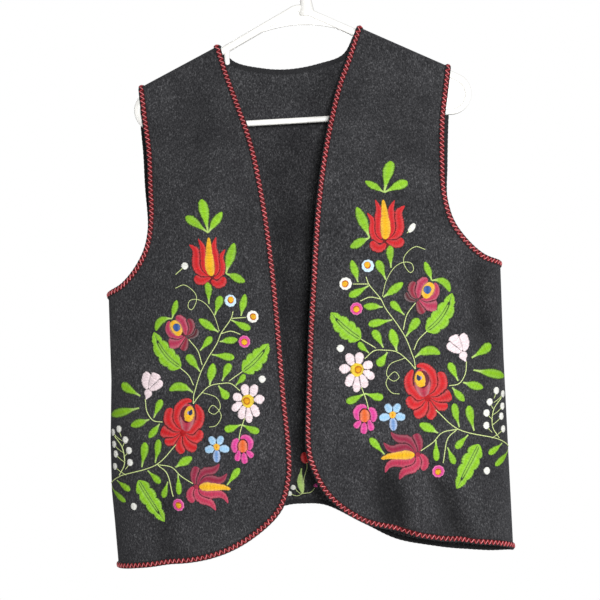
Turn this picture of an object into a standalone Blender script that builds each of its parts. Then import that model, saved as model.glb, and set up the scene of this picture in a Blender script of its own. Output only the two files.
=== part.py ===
"""Embroidered folk vest on its hanger: a sleeveless felt vest, open at the front, that hangs
from a white plastic hanger.

Run it with blender --background --python part.py, or from Blender's text editor.

Frame and units: metres, +Z up, +X to the viewer's right, and the viewer stands on the -Y side.
The origin is the seat of the hook, the point at the top of its bend that lies on a rail.
The vest is cut as two fronts and a back, each a felt wall. Their free edges are finished with
a rounded edge band. Pieces lie 0.3 mm apart at their seams.
"""

import math

import bpy
import numpy as np

# ---------------------------------------------------------------- driving dimensions
FELT = 0.0025  # thickness of the felt
SEAM_GAP = 0.0003  # between two pieces at a seam
BAND_GAP = 0.0004  # between a panel and its edge band
FLAT_STEP = 0.001  # step for slopes of the cloth's surface

BAND_WIDTH = 0.0080  # edge band, across the edge
BAND_ABOVE, BAND_BELOW = 0.0016, 0.0028  # of the felt's outer face
BAND_SIDES = 8
BAND_ROUNDNESS = 0.7  # power of cosine and sine in its section: 1 is an ellipse, 0 a rectangle

ARM_THICKNESS = 0.008  # hanger arms, front to back
WRAP_GAP = 0.0008  # between the hanger and the felt that hangs over it
WRAP_RADIUS = ARM_THICKNESS / 2 + WRAP_GAP + FELT  # outer face of the felt over an arm
WRAP_LENGTH = WRAP_RADIUS * math.pi / 2  # of the quarter round, over the arm
SPREAD_HEIGHT = 0.190  # below the shoulder, over which the cloth spreads to its full depth
FOLD_RUN = 0.3  # share of a fold's height over which it fades in
FULL_FOLD_DEPTH = 0.02  # of the body, below which folds grow shallower towards the side seams
RING_SAMPLES = 97  # along a quarter of the body's ring, (x / a) ** 4 + (y / b) ** 2 = 1
SPAN_POINTS = 12  # of a smooth curve, between two of its table's points

SHOULDER_ROWS = 3  # of the grid, on the round over the hanger's arm
ARMHOLE_ROWS = 16
SIDE_ROWS = 15
CORNER_CROWDING = 0.5  # rows and columns lie this much closer at the fronts' round corners
FRONT_COLUMNS = 13
BACK_COLUMNS = 24
NECK_COLUMNS = 16  # of the back's columns, along the neck edge
NECK_ROUND_SHARE = 1.3  # of WRAP_LENGTH, at each end of the neck edge, with closer columns


def table(columns, rows):
    """The named columns of a short table, each as an array."""
    return dict(zip(columns.split(), np.array(rows, float).T))


# Shoulder seam: its height over the hanger's arms, from one sleeve edge to the other.
SHOULDER = table(
    "x height",
    [
        (-0.2100, -0.1712),
        (-0.1047, -0.1222),
        (-0.0800, -0.1096),
        (0.0570, -0.0982),
        (0.0790, -0.1094),
        (0.2100, -0.1762),
    ],
)

# The body's ring at each height: where its sides are, and how far front and back stand out.
RING = table(
    "height left_side right_side front_depth back_depth",
    [
        (-0.780, -0.2622, 0.2302, 0.058, 0.036),
        (-0.705, -0.2644, 0.2308, 0.057, 0.036),
        (-0.667, -0.2660, 0.2310, 0.056, 0.035),
        (-0.605, -0.2640, 0.2314, 0.054, 0.034),
        (-0.530, -0.2587, 0.2320, 0.051, 0.033),
        (-0.420, -0.2560, 0.2345, 0.048, 0.031),
        (-0.100, -0.2560, 0.2345, 0.046, 0.030),
    ],
)

# Long soft folds: troughs of the cloth, seen from outside. A negative depth is a ridge.
FRONT_FOLDS = table(
    "x top bottom half_width depth",
    [
        (0.083, -0.590, -0.800, 0.017, 0.0055),
        (0.138, -0.570, -0.800, 0.018, 0.0060),
        (0.111, -0.600, -0.800, 0.014, -0.0035),
        (0.200, -0.390, -0.560, 0.016, 0.0050),
        (-0.118, -0.640, -0.800, 0.020, 0.0040),
    ],
)
BACK_FOLDS = table(
    "x top bottom half_width depth",
    [
        (-0.026, -0.250, -0.690, 0.016, 0.0080),
        (0.060, -0.420, -0.800, 0.024, -0.0040),
        (-0.110, -0.460, -0.800, 0.024, -0.0040),
        (-0.175, -0.500, -0.800, 0.020, 0.0040),
        (0.150, -0.520, -0.800, 0.022, 0.0045),
    ],
)

# Middle of the edge band along each free edge, seen from the front. Each starts on top of the
# shoulder and ends at a side seam; TOP and SIDE stand for those lines.
TOP, SIDE = math.inf, math.inf
LEFT_EDGE = table(
    "x height",
    [
        (-0.1040, TOP),
        (-0.0933, -0.160),
        (-0.0815, -0.199),
        (-0.0660, -0.2565),
        (-0.0552, -0.332),
        (-0.0480, -0.442),
        (-0.0451, -0.551),
        (-0.0420, -0.624),
        (-0.0447, -0.660),
        (-0.0582, -0.695),
        (-0.1000, -0.729),
        (-0.1410, -0.745),
        (-0.2050, -0.753),
        (-SIDE, -0.760),
    ],
)
LEFT_CORNER = (-0.0582, -0.695)
RIGHT_EDGE = table(
    "x height",
    [
        (0.0775, TOP),
        (0.0602, -0.150),
        (0.0454, -0.187),
        (0.0248, -0.262),
        (0.0111, -0.336),
        (-0.0061, -0.481),
        (-0.0125, -0.553),
        (-0.0173, -0.625),
        (-0.0129, -0.646),
        (0.0043, -0.681),
        (0.0406, -0.711),
        (0.1046, -0.733),
        (0.1520, -0.744),
        (0.2060, -0.754),
        (SIDE, -0.766),
    ],
)
RIGHT_CORNER = (0.0043, -0.681)
LEFT_ARMHOLE = table(
    "x height",
    [
        (-0.2003, TOP),
        (-0.1970, -0.210),
        (-0.1930, -0.250),
        (-0.1924, -0.290),
        (-0.1936, -0.3415),
        (-0.2039, -0.378),
        (-0.2329, -0.413),
        (-SIDE, -0.426),
    ],
)
RIGHT_ARMHOLE = table(
    "x height",
    [
        (0.1839, TOP),
        (0.1776, -0.194),
        (0.1706, -0.231),
        (0.1655, -0.285),
        (0.1647, -0.325),
        (0.1743, -0.363),
        (0.2078, -0.402),
        (SIDE, -0.4145),
    ],
)
BACK_ARMHOLE_OUT = 0.009  # how much further out the back's armhole lies, at its middle
SHOULDER_RISE = 0.040  # from an armhole table's second height up to the shoulder seam
NECK = table(
    "x height",
    [
        (-0.1040, TOP),
        (-0.0868, -0.142),
        (-0.0486, -0.154),
        (-0.0150, -0.157),
        (0.0240, -0.152),
        (0.0570, -0.141),
        (0.0775, TOP),
    ],
)
BACK_HEM = table(
    "x height",
    [
        (-SIDE, -0.760),
        (-0.2100, -0.756),
        (-0.1400, -0.742),
        (-0.0900, -0.714),
        (-0.0390, -0.699),
        (0.0000, -0.703),
        (0.0500, -0.731),
        (0.0900, -0.752),
        (0.1410, -0.763),
        (0.2030, -0.770),
        (SIDE, -0.767),
    ],
)

# Hanger, of white plastic. Its frame is one closed bar: two sloping arms, two round ends and
# a straight bar below. The hook's bend is centred over the hanger, and its stem stands to the
# right of that.
SEAT_RADIUS = 0.021  # inside the hook
ARM_SLOPE = math.radians(27)
ARM_HEIGHT = 0.0092
END_X, END_Z = 0.1845, -0.1976  # centre of each round end
END_RADIUS = 0.0268  # outer
APEX_RADIUS = 0.012
BAR_HEIGHT = 0.0072
BAR_SIDES = 12
BAR_ROUNDNESS = 0.85  # as BAND_ROUNDNESS
END_POINTS, APEX_POINTS, ARCH_POINTS = 12, 5, 13  # along a round end, the apex and its web
WEB_THICKNESS = 0.0036
ARCH_HALF_WIDTH, ARCH_TOP = 0.046, -0.1005  # under the web at the apex
END_WEB_X = 0.142  # inner edge of the web in each round end, at its ends
END_WEB_HOLLOW, END_WEB_POINTS = 0.010, 7  # and how far that edge is hollowed at its middle
PEG_X, PEG_WIDTH, PEG_THICKNESS, PEG_BOTTOM = 0.0915, 0.0070, 0.0050, -0.1455
PEG_FOOT_POINTS = 7
STEM_X, STEM_DEPTH_SHARE = 0.011, 0.72
STEM_FOOT_RADIUS, STEM_RADIUS = 0.0098, 0.0062
STEM_TOP = -0.0600
STEM_STATIONS = [(-0.0900, 0.8), (-0.0840, 1.0), (-0.0700, 0.25), (STEM_TOP, 0.0)]
# Each station: its height, and its share of the way from STEM_RADIUS to STEM_FOOT_RADIUS.
STEM_SIDES = 20
HOOK_BAR_RADIUS = 0.004
HOOK_START, HOOK_END = math.radians(-48), math.radians(197)
HOOK_COLLAR_RADIUS, HOOK_COLLAR_HEIGHT = 0.0056, 0.0035
SHANK_STRAIGHT, SHANK_REACH = 0.001, 0.010  # above the collar: straight, then the curve's pull
SHANK_POINTS, BEND_POINTS = 7, 26
HOOK_TIP_SHARE = 0.6  # of its radius, at the hook's end

FELT_COLOUR = (0.030, 0.030, 0.034, 1.0)
BAND_COLOUR = (0.022, 0.022, 0.025, 1.0)
PLASTIC_COLOUR = (0.86, 0.86, 0.84, 1.0)
SHARP_ANGLE = math.radians(40)


# ---------------------------------------------------------------- scene and materials
for old in list(bpy.data.objects):
    bpy.data.objects.remove(old, do_unlink=True)


def material(name, colour, roughness):
    made = bpy.data.materials.new(name)
    made.use_nodes = True
    shader = made.node_tree.nodes["Principled BSDF"]
    shader.inputs["Base Color"].default_value = colour
    shader.inputs["Roughness"].default_value = roughness
    shader.inputs["Metallic"].default_value = 0.0
    return made


felt = material("felt", FELT_COLOUR, 0.95)
edge_band = material("edge_band", BAND_COLOUR, 0.9)
plastic = material("plastic", PLASTIC_COLOUR, 0.35)


def mesh_object(name, points, faces, finish):
    """A smooth-shaded object of these points and faces, with the faces turned outwards."""
    mesh = bpy.data.meshes.new(name)
    mesh.from_pydata([tuple(point) for point in points], [], [tuple(face) for face in faces])
    mesh.materials.append(finish)
    mesh.shade_smooth()
    mesh.set_sharp_from_angle(angle=SHARP_ANGLE)
    made = bpy.data.objects.new(name, mesh)
    bpy.context.scene.collection.objects.link(made)
    return made


# ---------------------------------------------------------------- the cloth's surface
# A place on the cloth has two coordinates: along, the length round the ring from the middle
# of the front or back, and height, which over the hanger's arm goes on as if the cloth were
# flat. side is -1 on the front and +1 on the back.
def ring_sizes(height, side):
    """(middle x, half width, depth) of the ring at these heights."""
    order = np.argsort(RING["height"])
    sizes = {name: np.interp(height, RING["height"][order], RING[name][order]) for name in RING}
    middle = (sizes["left_side"] + sizes["right_side"]) / 2
    half_width = (sizes["right_side"] - sizes["left_side"]) / 2
    return middle, half_width, sizes["front_depth" if side < 0 else "back_depth"]


def ring_at(turn, half_width, depth):
    """(x, depth) of (x / a) ** 4 + (y / b) ** 2 = 1, with turn 0 at the middle, pi / 2 at the side."""
    return half_width * np.sin(turn), depth * np.cos(turn) * np.sqrt(1 + np.sin(turn) ** 2)


def ring_lengths(half_width, depth):
    """Turns from the middle to the side, and the length round the ring up to each."""
    turns = np.linspace(0, math.pi / 2, RING_SAMPLES)
    x, y = ring_at(turns, half_width[..., None], depth[..., None])
    steps = np.hypot(np.diff(x, axis=-1), np.diff(y, axis=-1))
    lengths = np.concatenate([np.zeros_like(steps[..., :1]), np.cumsum(steps, axis=-1)], axis=-1)
    return turns, lengths


def side_seam(height, side):
    """Length round the ring from its middle to a side seam."""
    _, half_width, depth = ring_sizes(height, side)
    return ring_lengths(np.asarray(half_width), np.asarray(depth))[1][..., -1]


def along_at(x, height, side):
    """Length round the ring of the place that lies at x, at this height."""
    middle, half_width, depth = ring_sizes(height, side)
    reach = np.clip((x - middle) / half_width, -1, 1)
    turn = np.arcsin(np.abs(reach))
    turns, lengths = ring_lengths(np.asarray(half_width), np.asarray(depth))
    rows = lengths.reshape(-1, RING_SAMPLES)
    along = [np.interp(each, turns, row) for each, row in zip(turn.ravel(), rows)]
    return np.sign(reach) * np.reshape(along, reach.shape)


def ring_place(along, height, side):
    """(x, depth) of the ring at this length from its middle."""
    middle, half_width, depth = ring_sizes(height, side)
    turns, lengths = ring_lengths(half_width, depth)
    rows = lengths.reshape(-1, RING_SAMPLES)
    turn = [np.interp(length, row, turns) for length, row in zip(np.abs(along).ravel(), rows)]
    x, depth = ring_at(np.reshape(turn, along.shape), half_width, depth)
    return middle + np.sign(along) * x, depth


def smooth(value):
    """0 to 1 with a level start and end."""
    return (1 - np.cos(math.pi * np.clip(value, 0, 1))) / 2


def shoulder_top(x):
    """Height of the felt's outer face on the shoulder seam."""
    return np.interp(x, SHOULDER["x"], SHOULDER["height"])


def flat_top(x):
    """Height coordinate of the seam on top of the shoulder."""
    return shoulder_top(x) + (math.pi / 2 - 1) * WRAP_RADIUS


def fold_depth(x, height, folds):
    """How far the folds press the cloth in."""
    total = np.zeros_like(x)
    for middle, top, bottom, half_width, depth in zip(*folds.values()):
        run = smooth((top - height) / (FOLD_RUN * (top - bottom)))
        total += depth * run * np.exp(-(((x - middle) / half_width) ** 2))
    return total


def cloth(along, height, side):
    """The felt's outer face. From the seam on top of the hanger's arm it turns down through a
    quarter round, then spreads from the arm's depth to the ring's own depth."""
    along, height = np.broadcast_arrays(np.asarray(along, float), np.asarray(height, float))
    x, ring_depth = ring_place(along, height, side)
    fall = flat_top(x) - height
    turn = np.minimum(fall / WRAP_RADIUS, math.pi / 2)
    over_arm = fall < WRAP_LENGTH
    spread = smooth((fall - WRAP_LENGTH) / SPREAD_HEIGHT)
    depth = WRAP_RADIUS * np.sin(turn) + (ring_depth - WRAP_RADIUS) * spread
    folds = FRONT_FOLDS if side < 0 else BACK_FOLDS
    openness = np.clip(ring_depth / FULL_FOLD_DEPTH, 0, 1)
    depth = depth - fold_depth(x, height, folds) * spread * openness
    z = np.where(over_arm, shoulder_top(x) - WRAP_RADIUS * (1 - np.cos(turn)), height)
    return np.stack([x, side * depth, z], axis=-1)


def outward(along, height, side):
    """Unit normal of the felt's outer face, from the slopes of cloth()."""
    step = FLAT_STEP
    across = cloth(along + step, height, side) - cloth(along - step, height, side)
    down = cloth(along, height - step, side) - cloth(along, height + step, side)
    normal = np.cross(down, across) * -side
    return normal / np.linalg.norm(normal, axis=-1, keepdims=True)


# ---------------------------------------------------------------- edges in cloth coordinates
def cloth_points(edge, side):
    """An edge's points as (along, height) pairs."""
    x, height = edge["x"].copy(), edge["height"].copy()
    on_top = np.isinf(height)
    height[on_top] = flat_top(x[on_top]) - SEAM_GAP / 2
    at_side = np.isinf(x)
    seam = side_seam(height, side) - SEAM_GAP / 2
    x_safe = np.where(at_side, 0, x)
    along = np.where(at_side, np.sign(x) * seam, along_at(x_safe, height, side))
    return np.stack([along, height], axis=-1)


def smooth_curve(points):
    """A centripetal Catmull-Rom curve through the points."""
    ends = np.vstack([2 * points[0] - points[1], points, 2 * points[-1] - points[-2]])
    pieces = []
    for a, b, c, d in zip(ends[:-3], ends[1:-2], ends[2:-1], ends[3:]):
        chords = [math.sqrt(np.linalg.norm(q - p)) for p, q in ((a, b), (b, c), (c, d))]
        t1, t2, t3 = np.cumsum(chords)
        t = np.linspace(t1, t2, SPAN_POINTS, endpoint=False)[:, None]
        p = (t1 - t) / t1 * a + t / t1 * b
        q = (t2 - t) / (t2 - t1) * b + (t - t1) / (t2 - t1) * c
        r = (t3 - t) / (t3 - t2) * c + (t - t2) / (t3 - t2) * d
        s = (t2 - t) / t2 * p + t / t2 * q
        u = (t3 - t) / (t3 - t1) * q + (t - t1) / (t3 - t1) * r
        pieces.append((t2 - t) / (t2 - t1) * s + (t - t1) / (t2 - t1) * u)
    return np.vstack(pieces + [points[-1:]])


def lengths_of(curve):
    return np.concatenate([[0], np.cumsum(np.linalg.norm(np.diff(curve, axis=0), axis=1))])


def inset(curve, distance, left_of_travel):
    """The curve moved sideways by distance, to the left of its travel or to the right."""
    travel = np.gradient(curve, axis=0)
    travel /= np.linalg.norm(travel, axis=1, keepdims=True)
    left = np.stack([-travel[:, 1], travel[:, 0]], axis=-1)
    return curve + left * distance * (1 if left_of_travel else -1)


def seat_ends(curve, side, first, last):
    """The curve with its ends slid along it to the shoulder seam ("top") or side seam ("side")."""
    curve = curve.copy()
    for index, inner, line in ((0, 2, first), (-1, -3, last)):
        travel = curve[index] - curve[inner]
        along, height = curve[index]
        if line == "top":
            x, _ = ring_place(np.array(along), np.array(height), side)
            slide = (flat_top(x) - SEAM_GAP / 2 - height) / travel[1]
            curve[index] = curve[index] + travel * slide
            curve[index, 1] = flat_top(x + travel[0] * slide) - SEAM_GAP / 2
        else:
            seam = np.sign(along) * (side_seam(height, side) - SEAM_GAP / 2)
            curve[index, 1] += travel[1] * (seam - along) / travel[0]
            curve[index, 0] = seam
    return curve


def edge_pair(edge, side, left_of_travel, first, last):
    """(cloth's edge, middle of its band): both as long curves with matching points."""
    middle = smooth_curve(cloth_points(edge, side))
    cut = inset(middle, BAND_WIDTH / 2 + BAND_GAP, left_of_travel)
    return seat_ends(cut, side, first, last), seat_ends(middle, side, first, last)


def resample(pair, fractions):
    """Both curves of a pair at the same fractions of the first one's length."""
    run = lengths_of(pair[0])
    index = np.arange(len(run))
    where = np.interp(fractions * run[-1], run, index)
    return [
        np.stack([np.interp(where, index, column) for column in curve.T], axis=-1)
        for curve in pair
    ]


def split(pair, corner):
    """A pair of curves cut in two at the point of the second that is nearest to corner."""
    index = int(np.argmin(np.linalg.norm(pair[1] - corner, axis=1)))
    return [curve[: index + 1] for curve in pair], [curve[index:] for curve in pair]


# ---------------------------------------------------------------- solids from cloth grids
def shares_of(one, other):
    """Mean of two edges' own shares of length, at each of their points."""
    return sum(lengths_of(edge) / lengths_of(edge)[-1] for edge in (one, other)) / 2


def coons(top, bottom, left, right):
    """A grid that fills four edges: top and bottom run left to right, the sides downwards."""
    v = shares_of(left, right)[:, None, None]
    u = shares_of(top, bottom)[None, :, None]
    ruled = (1 - v) * top[None] + v * bottom[None] + (1 - u) * left[:, None] + u * right[:, None]
    high = (1 - u) * top[0] + u * top[-1]
    low = (1 - u) * bottom[0] + u * bottom[-1]
    return ruled - (1 - v) * high - v * low


def wall(name, grid, side):
    """A felt panel: its outer face on the grid, its inner face one thickness further in."""
    outer = cloth(grid[..., 0], grid[..., 1], side)
    inner = outer - FELT * outward(grid[..., 0], grid[..., 1], side)
    rows, columns = outer.shape[:2]
    points = np.vstack([outer.reshape(-1, 3), inner.reshape(-1, 3)])
    index = np.arange(rows * columns).reshape(rows, columns)
    below = index + rows * columns
    quads = np.stack([index[:-1, :-1], index[1:, :-1], index[1:, 1:], index[:-1, 1:]], axis=-1)
    faces = quads.reshape(-1, 4).tolist()
    faces += (quads[..., ::-1] + rows * columns).reshape(-1, 4).tolist()
    rim = np.concatenate([index[0, :-1], index[:-1, -1], index[-1, :0:-1], index[:0:-1, 0]])
    under = np.concatenate([below[0, :-1], below[:-1, -1], below[-1, :0:-1], below[:0:-1, 0]])
    for k in range(len(rim)):
        after = (k + 1) % len(rim)
        faces.append([rim[k], rim[after], under[after], under[k]])
    if side > 0:
        faces = [face[::-1] for face in faces]
    return mesh_object(name, points, faces, felt)


def rounded(turn, roundness):
    """Cosine and sine of the turn with their sizes raised to a power, for a rounded section."""
    return [np.sign(wave) * np.abs(wave) ** roundness for wave in (np.cos(turn), np.sin(turn))]


def band_rings(cut, middle, side):
    """The band's rounded sections, one at each point of the edge."""
    centre = cloth(middle[:, 0], middle[:, 1], side)
    out = centre - cloth(cut[:, 0], cut[:, 1], side)
    normal = outward(middle[:, 0], middle[:, 1], side)
    out -= normal * np.sum(out * normal, axis=1, keepdims=True)
    out /= np.linalg.norm(out, axis=1, keepdims=True)
    wide, high = rounded(np.arange(BAND_SIDES) * 2 * math.pi / BAND_SIDES, BAND_ROUNDNESS)
    wide = wide * BAND_WIDTH / 2
    high = high * (BAND_ABOVE + BAND_BELOW) / 2 + (BAND_ABOVE - BAND_BELOW) / 2
    across = out[:, None] * wide[None, :, None] + normal[:, None] * high[None, :, None]
    return centre[:, None] + across


def seat_band_end(rings, index, side):
    """Puts a band's end section in the seam's plane."""
    rings[index, :, 1] = side * SEAM_GAP / 2


def tube(name, rings, closed, finish):
    """A solid through the sections, closed on itself or with flat ends."""
    count, sides = rings.shape[:2]
    index = np.arange(count * sides).reshape(count, sides)
    faces = []
    for k in range(count if closed else count - 1):
        here, after = index[k], index[(k + 1) % count]
        for j in range(sides):
            nxt = (j + 1) % sides
            faces.append([here[j], here[nxt], after[nxt], after[j]])
    if not closed:
        faces += [index[0, ::-1].tolist(), index[-1].tolist()]
    points = rings.reshape(-1, 3)
    corners = points[np.array([face[:3] for face in faces if len(face) == 4])]
    volume = np.einsum("ij,ij->", corners[:, 0], np.cross(corners[:, 1], corners[:, 2]))
    if volume < 0:
        faces = [face[::-1] for face in faces]
    return mesh_object(name, points, faces, finish)


# ---------------------------------------------------------------- row and column stations
def crowded(count):
    """Fractions from 0 to 1 that lie closer towards 1."""
    even = np.linspace(0, 1, count + 1)
    return even + CORNER_CROWDING * np.sin(math.pi * even) / math.pi


def row_fractions(shoulder, split_at):
    """Fractions down an edge to split_at: close together on the round over the hanger's arm,
    then even."""
    return np.concatenate(
        [
            np.linspace(0, shoulder, SHOULDER_ROWS + 1),
            np.linspace(shoulder, split_at, ARMHOLE_ROWS + 1)[1:],
        ]
    )


def outer_side(armhole, side, hem_height):
    """(cut, band middle) down the armhole, then the side seam as cut edge only."""
    fractions = row_fractions(WRAP_LENGTH / lengths_of(armhole[0])[-1], 1)
    arm_cut, arm_middle = resample(armhole, fractions)
    start = arm_cut[-1]
    heights = start[1] + (hem_height - start[1]) * crowded(SIDE_ROWS)[1:]
    seam = np.sign(start[0]) * (side_seam(heights, side) - SEAM_GAP / 2)
    return arm_cut, arm_middle, np.vstack([arm_cut, np.stack([seam, heights], axis=-1)])


def shoulder_line(start, end, count, side):
    """The cut edge on the shoulder seam, from one place to another, as count points."""
    along = np.linspace(start[0], end[0], count)
    x, _ = ring_place(along, np.full(count, start[1]), side)
    line = np.stack([along, flat_top(x) - SEAM_GAP / 2], axis=-1)
    line[0], line[-1] = start, end
    return line


def front_panel(name, edge, corner, armhole_edge, left):
    """One front: its wall and the sections of its edge band and armhole band."""
    side = -1
    armhole = edge_pair(armhole_edge, side, left, "top", "side")
    whole = edge_pair(edge, side, not left, "top", "side")
    corner_place = np.array([along_at(np.array(corner[0]), np.array(corner[1]), side), corner[1]])
    front, hem = split(whole, corner_place)
    arm_cut, arm_middle, outer = outer_side(armhole, side, hem[0][-1, 1])
    split_at = ARMHOLE_ROWS / (ARMHOLE_ROWS + SIDE_ROWS)
    upper = row_fractions(WRAP_LENGTH / lengths_of(front[0])[-1], split_at)
    lower = split_at + (1 - split_at) * crowded(SIDE_ROWS)[1:]
    front_cut, front_middle = resample(front, np.concatenate([upper, lower]))
    hem_cut, hem_middle = resample(hem, 1 - crowded(FRONT_COLUMNS)[::-1])
    top = shoulder_line(outer[0], front_cut[0], FRONT_COLUMNS + 1, side)
    grid = coons(top, hem_cut[::-1], outer, front_cut)
    if not left:
        grid = grid[:, ::-1]
    wall(name, grid, side)
    edge_rings = band_rings(
        np.vstack([front_cut, hem_cut[1:]]), np.vstack([front_middle, hem_middle[1:]]), side
    )
    seat_band_end(edge_rings, 0, side)
    seat_band_end(edge_rings, -1, side)
    return edge_rings, band_rings(arm_cut, arm_middle, side)


def back_armhole(edge):
    """The front's armhole edge, moved outwards in its middle."""
    moved = {name: column.copy() for name, column in edge.items()}
    seam_height = edge["height"][1] + SHOULDER_RISE
    heights = np.where(np.isinf(edge["height"]), seam_height, edge["height"])
    run = (heights[0] - heights) / (heights[0] - heights[-1])
    moved["x"] = edge["x"] + np.sign(edge["x"]) * BACK_ARMHOLE_OUT * np.sin(math.pi * run)
    return moved


left_edge_rings, left_armhole_front = front_panel(
    "front_left", LEFT_EDGE, LEFT_CORNER, LEFT_ARMHOLE, True
)
right_edge_rings, right_armhole_front = front_panel(
    "front_right", RIGHT_EDGE, RIGHT_CORNER, RIGHT_ARMHOLE, False
)


def back_panel():
    """The back: its wall, and the sections of its neck, hem and armhole bands."""
    side = 1
    hem = edge_pair(BACK_HEM, side, True, "side", "side")
    neck = edge_pair(NECK, side, False, "top", "top")
    left_hole = edge_pair(back_armhole(LEFT_ARMHOLE), side, True, "top", "side")
    right_hole = edge_pair(back_armhole(RIGHT_ARMHOLE), side, False, "top", "side")
    left_cut, left_middle, left_outer = outer_side(left_hole, side, hem[0][0, 1])
    right_cut, right_middle, right_outer = outer_side(right_hole, side, hem[0][-1, 1])
    hem_cut, hem_middle = resample(hem, np.linspace(0, 1, BACK_COLUMNS + 1))
    round_share = NECK_ROUND_SHARE * WRAP_LENGTH / lengths_of(neck[0])[-1]
    round_part = np.linspace(0, round_share, SHOULDER_ROWS + 1)
    level = np.linspace(round_part[-1], 1 - round_part[-1], NECK_COLUMNS - 2 * SHOULDER_ROWS + 1)
    fractions = np.concatenate([round_part, level[1:-1], 1 - round_part[::-1]])
    neck_cut, neck_middle = resample(neck, fractions)
    shoulder_points = (BACK_COLUMNS - NECK_COLUMNS) // 2 + 1
    top = np.vstack(
        [
            shoulder_line(left_outer[0], neck_cut[0], shoulder_points, side)[:-1],
            neck_cut,
            shoulder_line(neck_cut[-1], right_outer[0], shoulder_points, side)[1:],
        ]
    )
    wall("back", coons(top, hem_cut, left_outer, right_outer), side)
    neck_rings = band_rings(neck_cut, neck_middle, side)
    hem_rings = band_rings(hem_cut, hem_middle, side)
    for rings in (neck_rings, hem_rings):
        seat_band_end(rings, 0, side)
        seat_band_end(rings, -1, side)
    return (
        neck_rings,
        hem_rings,
        band_rings(left_cut, left_middle, side),
        band_rings(right_cut, right_middle, side),
    )


neck_rings, back_hem_rings, left_armhole_back, right_armhole_back = back_panel()

tube("edge_band_left", left_edge_rings, False, edge_band)
tube("edge_band_right", right_edge_rings, False, edge_band)
tube("edge_band_neck", neck_rings, False, edge_band)
tube("edge_band_back_hem", back_hem_rings, False, edge_band)


def armhole_band(name, front_rings, back_rings):
    """One closed band round an armhole, down the front and up the back."""
    front_rings = front_rings.copy()
    for index in (0, -1):
        front_rings[index] = (front_rings[index] + back_rings[index]) / 2
    tube(name, np.concatenate([front_rings, back_rings[-2:0:-1]]), True, edge_band)


armhole_band("armhole_band_left", left_armhole_front, left_armhole_back)
armhole_band("armhole_band_right", right_armhole_front, right_armhole_back)


# ---------------------------------------------------------------- hanger
def arc(centre, radius, start, end, count):
    """Points (x, z) along an arc, and the directions of travel there."""
    angles = np.linspace(start, end, count)
    turn = 1 if end > start else -1
    points = [(centre[0] + radius * math.cos(a), centre[1] + radius * math.sin(a)) for a in angles]
    travels = [(-turn * math.sin(a), turn * math.cos(a)) for a in angles]
    return list(zip(points, travels))


def sections(path, half_heights, half_depths, sides, roundness=1):
    """Rounded sections across a path in the XZ plane, half_depths being along Y."""
    across, along_y = rounded(np.arange(sides) * 2 * math.pi / sides, roundness)
    rings = []
    for ((x, z), (tx, tz)), high, deep in zip(path, half_heights, half_depths):
        ring = [x - tz * across * high, along_y * deep, z + tx * across * high]
        rings.append(np.stack(ring, axis=-1))
    return np.array(rings)


def plate(name, outline, thickness):
    """A flat plate of this outline in the XZ plane, centred on y = 0."""
    count = len(outline)
    points = [(x, y, z) for y in (-thickness / 2, thickness / 2) for x, z in outline]
    faces = [list(range(count)), list(range(2 * count - 1, count - 1, -1))]
    faces += [[k, k + count, (k + 1) % count + count, (k + 1) % count] for k in range(count)]
    return mesh_object(name, points, faces, plastic)


APEX_TOP = END_Z + END_RADIUS / math.cos(ARM_SLOPE) + END_X * math.tan(ARM_SLOPE)
END_PATH_RADIUS = END_RADIUS - ARM_HEIGHT / 2


def arm_middle(x):
    """Height of an arm's middle line."""
    return APEX_TOP - abs(x) * math.tan(ARM_SLOPE) - ARM_HEIGHT / 2 / math.cos(ARM_SLOPE)


def hanger_frame():
    """The closed bar, round the right end, over the apex and round the left end."""
    upright = math.pi / 2
    right = arc((END_X, END_Z), END_PATH_RADIUS, -upright, upright - ARM_SLOPE, END_POINTS)
    apex_z = APEX_TOP - (ARM_HEIGHT / 2 + APEX_RADIUS) / math.cos(ARM_SLOPE)
    apex = arc(
        (0, apex_z), APEX_RADIUS, upright - ARM_SLOPE, upright + ARM_SLOPE, APEX_POINTS
    )
    left = arc(
        (-END_X, END_Z), END_PATH_RADIUS, upright + ARM_SLOPE, 3 * upright, END_POINTS
    )
    grow = np.linspace(BAR_HEIGHT / 2, ARM_HEIGHT / 2, END_POINTS)
    heights = np.concatenate([grow, np.full(APEX_POINTS, ARM_HEIGHT / 2), grow[::-1]])
    depths = np.full(len(heights), ARM_THICKNESS / 2)
    rings = sections(right + apex + left, heights, depths, BAR_SIDES, BAR_ROUNDNESS)
    return tube("hanger_body", rings, True, plastic)


def apex_web():
    """The web under the apex, with its arched lower edge."""
    low = arm_middle(ARCH_HALF_WIDTH) - ARM_HEIGHT / 2 / math.cos(ARM_SLOPE)
    xs = np.linspace(-ARCH_HALF_WIDTH, ARCH_HALF_WIDTH, ARCH_POINTS)
    arch = [(x, ARCH_TOP - (ARCH_TOP - low) * (x / ARCH_HALF_WIDTH) ** 2) for x in xs]
    upper = [(x, arm_middle(x)) for x in (ARCH_HALF_WIDTH, APEX_RADIUS / 2)]
    return plate("apex_web", arch + upper + [(-x, z) for x, z in reversed(upper)], WEB_THICKNESS)


def end_web(sign):
    """The web inside a round end, with a hollow inner edge."""
    turned = math.pi / 2 - ARM_SLOPE
    rim = arc((END_X, END_Z), END_PATH_RADIUS, -math.pi / 2, turned, END_POINTS)
    outline = [point for point, _ in rim]
    low, high = END_Z - END_PATH_RADIUS, arm_middle(END_WEB_X)
    for share in np.linspace(1, 0, END_WEB_POINTS):
        hollow = END_WEB_HOLLOW * math.sin(math.pi * share)
        outline.append((END_WEB_X + hollow, low + share * (high - low)))
    if sign < 0:
        outline = [(-x, z) for x, z in reversed(outline)]
    return plate(f"end_web_{'right' if sign > 0 else 'left'}", outline, WEB_THICKNESS)


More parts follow.
